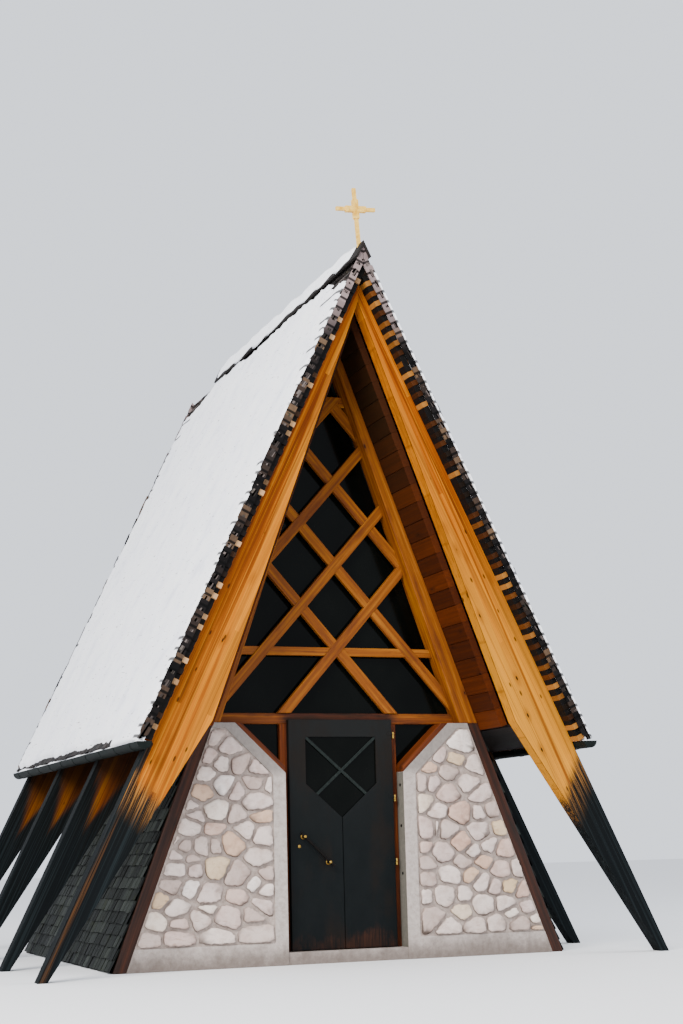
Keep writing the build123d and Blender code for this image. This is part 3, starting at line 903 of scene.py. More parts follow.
batten_wood = board_finish("batten_wood", ((82, 36, 5), (128, 62, 8), (160, 88, 20)), (48, 26, 12),
                           end_tones=True)
soffit_wood = board_finish("soffit_wood", ((46, 17, 3), (64, 25, 3), (88, 38, 5)), (30, 11, 3),
                           end_y=soffit_high.y, painted_shade_from=(3.3, 5.4))
eave_wood = board_finish("eave_wood", ((14, 8, 5), (26, 13, 7), (42, 22, 9)), (10, 7, 5))
# Painted shade: a near-black sheet under the battens, which shows in the gaps between their ends.
shade_sheet_finish = board_finish("painted_shade_sheet", ((5, 5, 5), (9, 8, 8), (14, 12, 11)), (6, 6, 6))

BATTEN_THICK = 0.066
SHADE_SHEET_LEVELS = (0.004, 0.063)
SHADE_SHEET_EDGE = 0.04
SHADE_SHEET_SET_BACK = 0.03
SOFFIT_BOARD = 0.175
SOFFIT_THICK = 0.068
GROOVE = 0.007
JOINT = 0.001
deck_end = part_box("roof_deck_right")[1].y
soffit_rows = int((shell_tip - soffit_low.z) * shell_stretch / shell_slope / SOFFIT_BOARD) + 1
batten_profile = rectangle(0.002, 0.05, 0.0, BATTEN_THICK)
soffit_profile = [(JOINT, GROOVE), (GROOVE, 0), (SOFFIT_BOARD - GROOVE, 0), (SOFFIT_BOARD - JOINT, GROOVE),
                  (SOFFIT_BOARD - JOINT, SOFFIT_THICK), (JOINT, SOFFIT_THICK)]
levels = [ridge_z + height * roof_stretch for height in SHADE_SHEET_LEVELS]
shade_sheet_foot = eave_z + SHADE_SHEET_EDGE
shade_sheet_end = deck_end - SHADE_SHEET_SET_BACK
shade_sheet_outline = [(0, levels[0]), (0, levels[1]), (edge_x(levels[1], roof_slope, shade_sheet_foot), shade_sheet_foot),
                (edge_x(levels[0], roof_slope, shade_sheet_foot), shade_sheet_foot)]

for side_name, side in SIDES.items():
    battens = lay_courses(long_board(batten_profile, 2 * deck_end), batten_wood, rows=roof_rows - 1,
                          exposure=EXPOSURE, slip=0.008, narrowing=0.012, seed=31 + side)
    battens.transform(slope_matrix(ridge_z, roof_slope, eave_z, 0.002, 0.0))
    keep_within(battens, -deck_end, deck_end, roof_slope)
    mirror_mesh(battens, side < 0)
    fit_piece(f"battens_{side_name}", battens, batten_wood, [f"roof_deck_{side_name}"])
    soffit = lay_courses(long_board(soffit_profile, soffit_high.y - soffit_low.y), soffit_wood,
                         rows=soffit_rows, exposure=SOFFIT_BOARD, seed=41 + side)
    soffit.transform(slope_matrix(shell_tip, shell_slope, soffit_low.z, 0.001, 0.0))
    keep_within(soffit, soffit_low.y, soffit_high.y, shell_slope)
    mirror_mesh(soffit, side < 0)
    fit_piece(f"soffit_boards_{side_name}", soffit, soffit_wood, [f"soffit_{side_name}"])
    # The black sheet under the battens, as painted shade.
    shade_sheet = Solids("tile")
    shade_sheet.bar(on_side(shade_sheet_outline, side), -shade_sheet_end, shade_sheet_end, chamfer=0)
    fit_piece(f"underlay_{side_name}", shade_sheet, shade_sheet_finish)
print("battens:", roof_rows - 1, "a side, soffit boards:", soffit_rows, "a side")

# %% [markdown]
# At each verge the courses end in a stack of round-ended shingles, set on edge over the batten ends. They
# are laid by the same tree as a single column, in the plane of the verge.

# %% Verge shingles
def rounded_tile(width, length, thickness):
    """A flat tile with a half-round butt, for a column that is turned into the plane of the verge."""
    half = width / 2
    turns = [math.radians(angle) for angle in (-80, -48, -16, 16, 48, 80)]
    outline = [(half + half * math.sin(turn), half * 0.99 * (1 - math.cos(turn))) for turn in turns]
    outline += [(width, length), (0, length)]
    faces = [[(x, y, z + y * 0.06) for x, y in outline] for z in (-thickness - 0.004, -0.004)]
    return to_mesh(loft(faces), "rounded_tile")


def verge_finish():
    finish = Finish("verge_shingle", 0.08)
    x, y, z = finish.place()
    first, second, third = finish.attribute("tile")
    grain = finish.noise(x * 40, y * 20, z * 20 + first * 9, detail=4, rough=0.6)
    wood = finish.ramp(first * 0.85 + grain * 0.15, (0.2, (10, 9, 9)), (0.5, (24, 21, 21)),
                       (0.72, (50, 40, 34)), (0.88, (92, 72, 54)))
    wood = finish.mix(z.ease(5.6, 6.1) * (0.5 + second * 0.5), wood, (134, 118, 116))
    uphill = ((z - eave_z) * roof_slope - x.size()) / roof_stretch + eave_x / roof_stretch
    course = ((uphill / EXPOSURE).fract() - 0.5).size()
    # Painted shade: a near-black line at the joint between courses, under each stacked shingle.
    wood = finish.mix(course.ease(0.34, 0.43) * 0.9, wood, (4, 4, 4))
    return finish.surface(wood, 0.85, grain, 0.002)


verge_shingle = verge_finish()
VERGE_BANDS = {"right": (0.048, 0.088), "left": (0.056, 0.084)}
uphill, outward = slope_ways(roof_slope)
verge_turn = Matrix((outward, uphill, Vector((0, -1, 0)))).transposed().to_4x4()
for side_name, side in SIDES.items():
    height, width = VERGE_BANDS[side_name]
    both_ends = bmesh.new()
    for front in ENDS.values():
        column = lay_courses(rounded_tile(width, 0.16, 0.012), verge_shingle, rows=roof_rows - (front < 0),
                             exposure=EXPOSURE, slip=0.012, narrowing=0.2, lift=0.03, seed=61 + side + front)
        column.transform(Matrix.Translation(Vector((eave_x, -verge_y, eave_z)) + outward * height) @ verge_turn)
        keep_within(column, -verge_y - 0.1, verge_y, roof_slope)
        mirror_mesh(column, side < 0, front < 0)
        both_ends.from_mesh(column)
    fit_piece(f"verge_shingles_{side_name}", to_mesh(both_ends, "verge"), verge_shingle)
print("verge shingles:", roof_rows, "at each of 4 verges")

# %% [markdown]
# The side walls carry the same shingles in dark tones. They start at the ground and end under the
# soffit. They run on past the panel, over the outer faces of the corner trims. The panel behind them
# closes the joints.

# %% Side wall shingles
WALL_EXPOSURE = 0.107
WALL_ROWS = 20
TRIM_FACE = 0.03
for side_name, side in SIDES.items():
    mesh = lay_courses(wedge(0.116, 0.2, 0.012, 0.030, 0.005), wall_shingle, rows=WALL_ROWS, columns=35,
                       exposure=WALL_EXPOSURE, width=0.12, stagger=1.0, slip=0.006, sway=0.4, narrowing=0.2,
                       lift=0.015, seed=71 + side)
    mesh.transform(slope_matrix(shell_tip, shell_slope, 0.005, 0.001, gable_y - 0.05))
    keep_within(mesh, gable_y + TRIM_FACE, -gable_y - TRIM_FACE, shell_slope)
    mirror_mesh(mesh, side < 0)
    fit_piece(f"wall_shingles_{side_name}", mesh, wall_shingle)
dress(["side_wall_left", "side_wall_right"], wall_shingle)
print("side wall shingles:", WALL_ROWS, "courses a side")

# %% [markdown]
# Around the stone stand simple boards: dark trims that cover the edges of the side walls, posts beside the
# door, and boards on the slanting shoulders.

# %% Posts and trims
POST_INNER = 0.5
SHOULDER_X = 1.075
SHOULDER_LOW = 1.72
SHOULDER_BOARD = 0.045
shoulder_run = SHOULDER_X - jamb_x
shoulder_rise = wall_top - SHOULDER_LOW
shoulder_lift = SHOULDER_BOARD * math.hypot(shoulder_run, shoulder_rise) / shoulder_run
shoulder_top_x = SHOULDER_X - shoulder_lift * shoulder_run / shoulder_rise
shoulder = [(jamb_x, SHOULDER_LOW), (SHOULDER_X, wall_top), (shoulder_top_x, wall_top),
            (jamb_x, SHOULDER_LOW + shoulder_lift)]
trim = [(edge_x(shell_inner_tip, shell_slope, 0), 0), (wall_x, 0), (rafter_outer, wall_top),
        (edge_x(shell_inner_tip, shell_slope, wall_top), wall_top)]
post_low, post_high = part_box("door_posts")

posts, shoulders = Solids(), Solids()
for side_name, side in SIDES.items():
    posts.bar(on_side(rectangle(POST_INNER, jamb_x, post_low.z, wall_top), side), post_low.y, post_high.y)
    shoulders.bar(on_side(shoulder, side), gable_y, wall_high.y, (side * shoulder_run, shoulder_rise))
    trims = Solids()
    for front in ENDS.values():
        trims.bar(on_side(trim, side), gable_y * front, gable_back * front, (-side, shell_slope), 0.006)
    fit_piece(f"wall_trims_{side_name}", trims, wall_trim, [f"wall_edge_{side_name}"])
fit_piece("posts_beside_door", posts, stained_timber, ["door_posts"])
fit_piece("shoulder_boards", shoulders, stained_timber, ["diagonal_trims"])
dress(["eave_boards"], eave_wood)
print("posts, shoulder boards and wall trims")

# %% [markdown]
# The gable walls are rubble: flat, rounded stones laid on edge in a pale mortar bed. A mason picks stones
# that fit, so their joints follow the lines halfway between neighbours. Seeded points moved apart until
# they are evenly spaced give such cells, and each cell is pulled in for the joint, rounded and domed.

# %% Fit stones to a wall
NEIGHBOUR_REACH = 0.6
STONE_BED = 0.006
LEAST_STONE = 0.0016


def lumps(x, y, seed):
    """Soft noise, from about -1 to 1."""
    return noise.noise(Vector((x, y, seed)))


def cell_centre(outline):
    """The centre of an outline, and its area."""
    area = centre_x = centre_z = 0.0
    for (x0, z0), (x1, z1) in sides_of(outline):
        cross = x0 * z1 - x1 * z0
        area += cross / 2
        centre_x += (x0 + x1) * cross / 6
        centre_z += (z0 + z1) * cross / 6
    return (centre_x / area, centre_z / area), abs(area)


def stone_cells(region, count, dice, stretch=1.3, rounds=4):
    """Cells of uneven size that fill a convex outline."""
    region = [(x / stretch, z) for x, z in region]
    low_x, high_x = min(x for x, z in region), max(x for x, z in region)
    low_z, high_z = min(z for x, z in region), max(z for x, z in region)
    sites = []
    while len(sites) < count:
        x, z = dice.uniform(low_x, high_x), dice.uniform(low_z, high_z)
        if all((x1 - x0) * (z - z0) - (z1 - z0) * (x - x0) > 0 for (x0, z0), (x1, z1) in sides_of(region)):
            sites.append((x, z, dice.uniform(-0.0034, 0.0034)))
    for turn in range(rounds):
        cells = []
        for x0, z0, weight0 in sites:
            cell = region
            for x1, z1, weight1 in sites:
                if (x1, z1) != (x0, z0) and math.hypot(x1 - x0, z1 - z0) < NEIGHBOUR_REACH and cell:
                    limit = (x1 * x1 + z1 * z1 - x0 * x0 - z0 * z0 + weight0 - weight1) / 2
                    cell = clip(cell, x1 - x0, z1 - z0, limit)
            cells.append(cell)
        if turn < rounds - 1:
            sites = [(*(cell_centre(cell)[0] if len(cell) > 2 else (x, z)), weight)
                     for cell, (x, z, weight) in zip(cells, sites)]
    return [[(x * stretch, z) for x, z in cell] for cell in cells if len(cell) > 2]


def pull_in(outline, amount):
    """The outline with every side moved inwards."""
    shape = outline
    for (x0, z0), (x1, z1) in sides_of(outline):
        length = math.hypot(x1 - x0, z1 - z0)
        if length > 1e-6:
            a, b = (z1 - z0) / length, (x0 - x1) / length
            shape = clip(shape, a, b, a * x0 + b * z0 - amount)
    return shape


def without_short_sides(outline, least=0.022):
    kept = []
    for point in outline:
        if not kept or math.dist(point, kept[-1]) > least:
            kept.append(point)
    if len(kept) > 1 and math.dist(kept[0], kept[-1]) < least:
        kept.pop()
    return kept


def round_corners(outline, cut=0.16):
    rounded = []
    for (x0, z0), (x1, z1) in sides_of(outline):
        rounded.append((x0 + (x1 - x0) * cut, z0 + (z1 - z0) * cut))
        rounded.append((x1 + (x0 - x1) * cut, z1 + (z0 - z1) * cut))
    return rounded


def chip_edges(outline, dice, step=0.026, rough=0.0085):
    """Splits long sides and moves the new corners in or out, as on split stone."""
    chipped = []
    for (x0, z0), (x1, z1) in sides_of(outline):
        length = math.hypot(x1 - x0, z1 - z0)
        pieces = max(1, round(length / step))
        for piece in range(pieces):
            share = piece / pieces
            shift = dice.uniform(-rough, rough * 0.4) if piece else dice.uniform(-rough, 0) * 0.5
            chipped.append((x0 + (x1 - x0) * share + (z1 - z0) / length * shift,
                            z0 + (z1 - z0) * share - (x1 - x0) / length * shift))
    return chipped


def add_stone(stones, outline, face_y, front, dice):
    """One domed stone on the wall's face, closed at the back."""
    (centre_x, centre_z), area = cell_centre(outline)
    rise = dice.uniform(0.022, 0.04)
    tilt_x, tilt_z = dice.uniform(-0.1, 0.1), dice.uniform(-0.1, 0.1)
    steps = ((0.99, -STONE_BED), (1.0, rise * 0.5), (0.95, rise * 0.86), (0.8, rise), (0.45, rise * 1.04))
    sections = []
    for shrink, height in steps:
        section = []
        for x, z in outline:
            offset_x, offset_z = (x - centre_x) * shrink, (z - centre_z) * shrink
            uneven = tilt_x * offset_x + tilt_z * offset_z
            uneven += lumps(x * 17, z * 17, shrink * 3) * 0.008 + lumps(x * 53, z * 53, shrink * 9) * 0.004
            out = height + uneven * (height > 0)
            section.append((centre_x + offset_x, face_y - out * front, centre_z + offset_z))
        sections.append(section)
    shape = loft(sections, (centre_x, face_y - rise * 1.1 * front, centre_z))
    tone = dice.random()
    # The pattern: a tone, the height from the centre and the rise from the bed; the finish makes the last two
    # painted shade.
    stones.add(shape, lambda point: (tone, (point.z - centre_z) / 0.08, (face_y - point.y) * front / rise))


def lay_stones(region, count, front, seed, mortar=0.0125):
    """Stones on the front or the rear wall, in a convex outline."""
    dice = random.Random(seed)
    stones = Solids("stone")
    for cell in stone_cells(region, count, dice):
        shape = without_short_sides(pull_in(cell, mortar * dice.uniform(0.7, 1.35)))
        if len(shape) > 2 and cell_centre(shape)[1] > LEAST_STONE:
            add_stone(stones, chip_edges(round_corners(shape), dice), gable_y * front, front, dice)
    return stones


print("stones can be fitted")

# %% [markdown]
# The stones are limestone: off-white, some tan or pinkish, with fine pits and faint darker clouds. The
# bed is a grey mortar, a little darker and rougher. The concrete border has smooth, pale faces that are
# stained near the ground, where splashes reach.

# %% Stone, mortar and concrete
def stone_finish():
    finish = Finish("limestone", 0.25)
    x, y, z = finish.place()
    first, level, relief = finish.attribute("stone")
    second, third = (first * 7.31).fract(), (first * 13.7).fract()
    base = finish.ramp(first, (0.1, (190, 170, 160)), (0.35, (230, 214, 204)), (0.55, (206, 186, 178)),
                       (0.7, (208, 172, 152)), (0.84, (212, 184, 144)), (0.95, (240, 228, 220)))
    clouds = finish.noise(x * 9 + second * 30, y * 9, z * 9, detail=5, rough=0.62)
    veins = finish.noise(x * 14, y * 14, z * 60 + second * 12, detail=4)
    # Painted shade: darker towards each stone's low edge, most on its lower side.
    shade = (1 - (relief + (clouds - 0.5) * 0.5).ease(0.4, 1.0)) * (0.6 - level * 0.45).higher_of(0.08)
    colour = finish.coats(
        base,
        (clouds.ease(0.42, 0.7) * 0.6, finish.times(base, (0.66, 0.58, 0.54, 1))),
        (veins.ease(0.58, 0.7) * third * 0.5, (160, 124, 100)),
        (shade.lower_of(0.95), (78, 66, 58)),
    )
    grit = finish.noise(x * 120, y * 120, z * 120, detail=3)
    pits = finish.cells(x * 95, y * 95, z * 95)[0].ease(0.05, 0.3)
    return finish.surface(colour, 0.8 + grit * 0.15, clouds * 0.6 + grit * 0.25 + pits * 0.15, 0.02)


def bed_finish(name, tones, splash, depth, doorway=False):
    """Mortar or concrete. Mortar has painted shade in the sides of the doorway, and concrete is darker along
    the coping.
    """
    finish = Finish(name, 0.25)
    x, y, z = finish.place()
    clouds = finish.noise(x * 22, y * 22, z * 22, detail=5, rough=0.65)
    grit = finish.noise(x * 160, y * 160, z * 160, detail=3)
    colour = finish.ramp(clouds * 0.7 + grit * 0.3, *zip((0.3, 0.68), tones))
    ragged = finish.noise(x * 7, y * 7, z * 3, detail=4)
    damp = 1 - (z + (ragged - 0.5) * 0.25).ease(0.02, splash)
    colour = finish.mix(damp * 0.65, colour, (66, 52, 42))
    if doorway:
        # Painted shade in the sides of the doorway, on the front half of the wall.
        colour = finish.mix((1 - x.size().above(jamb_x + 0.001)) * (1 - y.above(0)) * 0.8, colour, (78, 80, 70))
    else:
        colour = finish.mix(z.ease(1.66, 1.78) * 0.6, colour, (96, 92, 88))
    return finish.surface(colour, 0.85 + grit * 0.1, grit * 0.5 + clouds * 0.5, depth)


limestone = stone_finish()
mortar = bed_finish("mortar", ((132, 118, 110), (188, 172, 162)), 0.2, 0.01, doorway=True)
concrete = bed_finish("concrete", ((146, 134, 127), (190, 179, 171)), 0.24, 0.003)
print("stone, mortar and concrete")

# %% [markdown]
# Each front wall is a field of stones in a concrete border: a plinth, the jamb of the doorway, a coping on
# the slanting shoulder and a thin cap. The rear wall is one wide field. The wall's own solid is the bed.

# %% Gable walls
BORDER = 0.125
COPING = 0.1
PLINTH = 0.2
CAP = 0.05
STONES_A_SIDE = 54
STONES_REAR = 190
STONE_SEEDS = {"right": 5, "left": 8, "rear": 21}
field_top = wall_top - CAP
foot_edge, field_low_x, field_high_x, top_edge = (
    edge_x(shell_inner_tip, shell_slope, z) for z in (0, PLINTH, field_top, wall_top))
inner_jamb = jamb_x + BORDER
coping_drop = COPING * math.hypot(shoulder_run, shoulder_rise) / shoulder_run
coping_low = SHOULDER_LOW + shoulder_rise * BORDER / shoulder_run - coping_drop
coping_top_x = inner_jamb + (field_top - coping_low) * shoulder_run / shoulder_rise
field = [(inner_jamb, PLINTH), (field_low_x, PLINTH), (field_high_x, field_top), (coping_top_x, field_top),
         (inner_jamb, coping_low)]
border = [(jamb_x, 0), (foot_edge, 0), (field_low_x, PLINTH), (inner_jamb, PLINTH), (inner_jamb, coping_low),
          (coping_top_x, field_top), (field_high_x, field_top), (top_edge, wall_top), (SHOULDER_X, wall_top),
          (jamb_x, SHOULDER_LOW)]

for side_name, side in SIDES.items():
    stones = lay_stones(on_side(field, side)[::side], STONES_A_SIDE, 1, STONE_SEEDS[side_name])
    fit_piece(f"stones_{side_name}", stones, limestone, smooth=True)
    edge = Solids()
    edge.bar(on_side(border, side), gable_y - 0.01, gable_y + 0.004, chamfer=0.003)
    fit_piece(f"wall_border_{side_name}", edge, concrete)

rear_field = [(-field_low_x, PLINTH), (field_low_x, PLINTH), (field_high_x, field_top),
              (-field_high_x, field_top)]
stones = lay_stones(rear_field, STONES_REAR, -1, STONE_SEEDS["rear"])
fit_piece("stones_rear", stones, limestone, smooth=True)
dress(["front_wall_left", "front_wall_right", "rear_wall"], mortar)
dress(["floor_slab"], concrete)
print("rear wall:", len(stones.faces), "faces of stone")

# %% [markdown]
# The panes look almost black, because the room behind them is dark. So the glass is an opaque, dark and
# smooth surface that only mirrors the sky a little. The door is painted steel grey, brushed, and worn to
# brown near the sill. The fittings are dark steel and brass, and the cross is pale gilded metal.

# %% Glass, paint and metals
def metal_finish(name, tones, metallic, rough, scale=40.0):
    finish = Finish(name, 0.1, metallic)
    x, y, z = finish.place()
    clouds = finish.noise(x * scale, y * scale, z * scale, detail=4, rough=0.6)
    fine = finish.noise(x * scale * 6, y * scale * 6, z * scale * 6, detail=2)
    colour = finish.ramp(clouds, *zip((0.35, 0.65), tones))
    return finish.surface(colour, rough + clouds * 0.2, fine, 0.0006)


def pane_finish():
    finish = Finish("dark_glass", 0.07)
    x, y, z = finish.place()
    clouds = finish.noise(x * 1.6, y * 1.6, z * 1.1)
    return finish.surface(finish.ramp(clouds, (0.35, (2, 3, 2)), (0.65, (7, 9, 7))), 0.06 + clouds * 0.06)


def door_finish():
    finish = Finish("door_paint", 0.1)
    x, y, z = finish.place()
    brushed = finish.noise(x * 60, y * 60, z * 3, detail=4, rough=0.6)
    clouds = finish.noise(x * 4, y * 4, z * 2.2, detail=5, rough=0.65)
    browned = finish.noise(x * 3, y * 3, z * 1.4 + 7, detail=4)
    rubbed = (clouds + (1 - z.ease(0.1, 0.5)) * 0.4).ease(0.7, 0.9)
    colour = finish.coats(
        finish.ramp(clouds * 0.7 + brushed * 0.3, (0.3, (5, 9, 10)), (0.7, (13, 17, 18))),
        (z.ease(0.9, 2.2) * 0.6, (28, 28, 27)),
        (browned.ease(0.5, 0.68) * 0.5, (26, 18, 12)),
        (rubbed * 0.7, finish.ramp(brushed, (0.35, (20, 13, 10)), (0.65, (58, 32, 20)))),
    )
    return finish.surface(colour, 0.5 + brushed * 0.25, brushed, 0.0008)


dark_glass = pane_finish()
door_paint = door_finish()
bar_paint = metal_finish("bar_paint", ((22, 27, 26), (32, 38, 36)), 0.0, 0.6)
dark_steel = metal_finish("dark_steel", ((7, 6, 6), (20, 17, 15)), 0.3, 0.4)
brass = metal_finish("brass", ((128, 98, 38), (186, 152, 78)), 0.7, 0.3, 60)
gilded = metal_finish("gilded", ((214, 160, 54), (246, 204, 104)), 0.25, 0.35, 20)
gutter_paint = metal_finish("gutter_paint", ((7, 12, 11), (17, 24, 22)), 0.0, 0.6, 8)

dress(["front_glass", "rear_glass", "door_glass"], dark_glass)
dress(["door_pull"], dark_steel)
dress(["door_lock", "hinge_posts", "hinge_leaves"], brass)
dress(["cross"], gilded)
dress(["gutter_left", "gutter_right"], gutter_paint)
dress(["ridge_cap"], roof_shingle)
print("glass, paint and metals")

# %% [markdown]
# The door leaf has a pointed window, and a joint runs down from its tip. Two thin bars cross in the
# window, from its upper corners to its slanting sides. The leaf is drawn as one outline with a fine
# chamfer, and a strip behind the joint closes it, so that it shows as a dark line.

# %% Door leaf
HALF_JOINT = 0.003
SPINE_HALF = 0.02
WINDOW_SHOULDER_RISE = 0.315
WINDOW_BAR = 0.026
BAR_DROP = 0.47
window_x, window_top, window_tip = glass_high.x, glass_high.z, glass_low.z
window_shoulder = window_tip + WINDOW_SHOULDER_RISE
right_edge = [(window_x, window_shoulder), (window_x, window_top)]
window = [(0, window_tip)] + right_edge + on_side(right_edge, -1)[::-1]

half_leaf = [(HALF_JOINT, window_tip + 0.002), (HALF_JOINT, door_low.z), (door_high.x, door_low.z),
             (door_high.x, door_high.z)]
leaf_outline = half_leaf + on_side(half_leaf, -1)[::-1] + on_side(right_edge, -1) + right_edge[::-1]
leaf = Solids()
leaf.bar(leaf_outline, door_low.y, door_high.y, chamfer=0.003)
spine = rectangle(-SPINE_HALF, SPINE_HALF, door_low.z, window_tip - 0.03)
leaf.bar(spine, door_low.y + 0.02, door_high.y - 0.002, chamfer=0)
fit_piece("door_panels", leaf, door_paint, ["door_leaf"], body="door")

cross_bars = Solids()
bar_lean = BAR_DROP / (window_x * 1.5)
bar_half = WINDOW_BAR * math.hypot(1, bar_lean) / 2
low_end = window_top - 2 * window_x * bar_lean
for lean, inset in ((1, 0.004), (-1, 0.007)):
    outline = on_side([(-window_x, window_top - bar_half), (window_x, low_end - bar_half),
                       (window_x, low_end + bar_half), (-window_x, window_top + bar_half)], lean)
    for (x0, z0), (x1, z1) in sides_of(window):
        outline = clip(outline, z1 - z0, x0 - x1, (z1 - z0) * x0 + (x0 - x1) * z0)
    cross_bars.bar(outline, door_low.y + inset, door_low.y + 0.024, (lean, -bar_lean), 0.002)
fit_piece("window_bars", cross_bars, bar_paint, body="door")
print(f"door leaf {door_high.x - door_low.x:.2f} m wide and {door_high.z - door_low.z:.2f} m high")

# %% [markdown]
# The fittings are small: slim brass knuckles on the hinge side, a steel pull bar set aslant in two brass
# brackets, a brass keyhole plate under it, and three bolt heads in the side of the doorway. The hinge
# plates are let into the edge of the leaf and painted with it, so only the knuckles shine.

# %% Door fittings
HINGE_STEP = 0.59
BRACKET_PLACES = (0.14, 0.86)
BOLT_LEVELS = (1.6, 1.22, 0.78)
BOLT_SET_BACK = 0.075


def rod(start, end, radius, corners=14):
    """A closed round bar between two points, with chamfered ends."""
    start, end = Vector(start), Vector(end)
    way = (end - start).normalized()
    side = way.orthogonal().normalized()
    up = way.cross(side)
    trim = radius * 0.3
    turns = [2 * math.pi * step / corners for step in range(corners)]
    rings = ((start, radius - trim), (start + way * trim, radius), (end - way * trim, radius),
             (end, radius - trim))
    return loft([[place + (side * math.cos(turn) + up * math.sin(turn)) * size for turn in turns]
                 for place, size in rings])


def peg(x, z, near_y, far_y, radius):
    """A rod along Y."""
    return rod((x, near_y, z), (x, far_y, z), radius)


leaf_low, leaf_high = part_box("hinge_leaves")
barrel_low, barrel_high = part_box("hinge_posts")
hinge_radius = (barrel_high.x - barrel_low.x) / 2
hinge_x, hinge_y = barrel_high.x - hinge_radius, barrel_low.y + hinge_radius
knuckle = leaf_high.z - leaf_low.z - 2 * HINGE_STEP
knuckles, plates = Solids(), Solids()
for level in (leaf_low.z + step * HINGE_STEP for step in range(3)):
    knuckles.add(rod((hinge_x, hinge_y, level), (hinge_x, hinge_y, level + knuckle), hinge_radius))
    plate = rectangle(leaf_low.x, hinge_x, level, level + knuckle)
    plates.bar(plate, door_low.y - 0.003, door_low.y + 0.001, chamfer=0.001)
fit_piece("hinge_knuckles", knuckles, brass, ["hinge_leaves"], body="door")
fit_piece("hinge_plates", plates, door_paint, body="door")

pull_low, pull_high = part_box("door_pull")
brackets = Solids()
for share in BRACKET_PLACES:
    x = pull_low.x + (pull_high.x - pull_low.x) * share
    z = pull_high.z + (pull_low.z - pull_high.z) * share
    brackets.add(peg(x, z, door_low.y - 0.008, door_low.y + 0.001, 0.025))
    brackets.add(peg(x, z, pull_low.y - 0.004, door_low.y, 0.013))
fit_piece("pull_brackets", brackets, brass, body="door")

lock_low, lock_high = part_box("door_lock")
lock_centre = (lock_low + lock_high) / 2
lock = Solids()
lock.add(peg(lock_centre.x, lock_centre.z, lock_low.y, door_low.y + 0.001, 0.015))
lock.add(peg(lock_centre.x, lock_centre.z + 0.004, lock_low.y - 0.003, door_low.y, 0.007))
fit_piece("keyhole_plate", lock, brass, ["door_lock"], body="door")

bolts = Solids()
for z in BOLT_LEVELS:
    y = gable_y + BOLT_SET_BACK
    bolts.add(rod((jamb_x - 0.007, y, z), (jamb_x + 0.004, y, z), 0.016, 6))
fit_piece("doorway_bolts", bolts, dark_steel)
print("fittings: 3 hinges, a pull, a keyhole plate and", len(BOLT_LEVELS), "bolts")

# %% [markdown]
# A few centimetres of snow lie on both slopes. It is a height field over the shingles: where the height
# falls below their tops, the shingles show. The snow stops short of the verges, leaves a bare strip above
# the gutter, and has slid away from the ridge at the rear. Its edges are ragged, course by course.

# %% Shape of the snow
SNOW_BASE = DECK_HEIGHT + 0.022
slope_length = eave_x * roof_stretch + (DECK_HEIGHT + 0.05) * roof_slope


def smooth_step(value):
    value = min(max(value, 0.0), 1.0)
    return value * value * (3 - 2 * value)


def snow_cover(y, up, seed):
    """From 0, bare, to 1, covered, at a place along the building and up the slope."""
    course = math.floor(up / EXPOSURE)
    verge_gap = 0.035 + 0.11 * max(0.0, lumps(course * 7.3, seed, 1.5)) + 0.02 * lumps(up * 20, y * 3, seed)
    eave_gap = 0.028 + 0.04 * lumps(y * 1.3, 4.0, seed) + 0.025 * lumps(y * 9, 2.0, seed)
    eave_gap -= 0.16 * smooth_step((-1.75 - y) / 0.15) + 0.16 * max(0.0, lumps(y * 2.1, 9.0, seed) - 0.25)
    ridge_gap = 0.125 + 0.06 * lumps(y * 3, 7.0, seed) + 0.03 * lumps(y * 9, 5.0, seed)
    ridge_gap += 0.2 * smooth_step((y - 1.6) / 1.0) + 0.16 * smooth_step((-2.0 - y) / 0.5)
    ridge_gap += 0.1 * lumps(y * 8, up * 14, seed) * smooth_step((-1.6 - y) / 0.5)
    return min(smooth_step((verge_y - abs(y) - verge_gap) / 0.05), smooth_step((up + 0.03 - eave_gap) / 0.04),
               smooth_step((slope_length - up - ridge_gap) / 0.05))


def snow_height(y, up, seed):
    drifts = 0.012 * lumps(y * 1.4, up * 1.1, seed) + 0.006 * lumps(y * 7, up * 5, seed)
    return 0.048 + drifts + 0.002 * lumps(y * 31, up * 31, seed)


def height_field(columns, rows, point, floor_point):
    """A closed solid: a grid of points on top, and its rim carried down to a flat base."""
    points = [point(column, row) for column in range(columns) for row in range(rows)]
    corners = [column * rows + row for column in range(columns - 1) for row in range(rows - 1)]
    faces = [(corner, corner + rows, corner + rows + 1, corner + 1) for corner in corners]
    rim = [(column, 0) for column in range(columns)] + [(columns - 1, row) for row in range(1, rows)]
    rim += [(column, rows - 1) for column in range(columns - 2, -1, -1)]
    rim += [(0, row) for row in range(rows - 2, 0, -1)]
    first = len(points)
    points += [floor_point(column, row) for column, row in rim]
    tops = [column * rows + row for column, row in rim]
    lows = [first + index for index in range(len(rim))]
    faces += [(tops[index - 1], lows[index - 1], lows[index], top) for index, top in enumerate(tops)]
    faces.append(lows[::-1])
    mesh = bpy.data.meshes.new("field")
    mesh.from_pydata(points, [], faces)
    return mesh


print(f"slope {slope_length:.2f} m long under the snow")

# %% [markdown]
# Snow is nearly white. Faint blue painted shade in its hollows, the dirt blown onto it, and the butts of
# shingles that stand out of it near the verges keep it from looking like plaster.

# %% Snow on the slopes
SNOW_STEP = 0.036
SNOW_INSET = 0.01
SNOW_START = -0.045
SNOW_UNDERSIDE = DECK_HEIGHT - 0.001


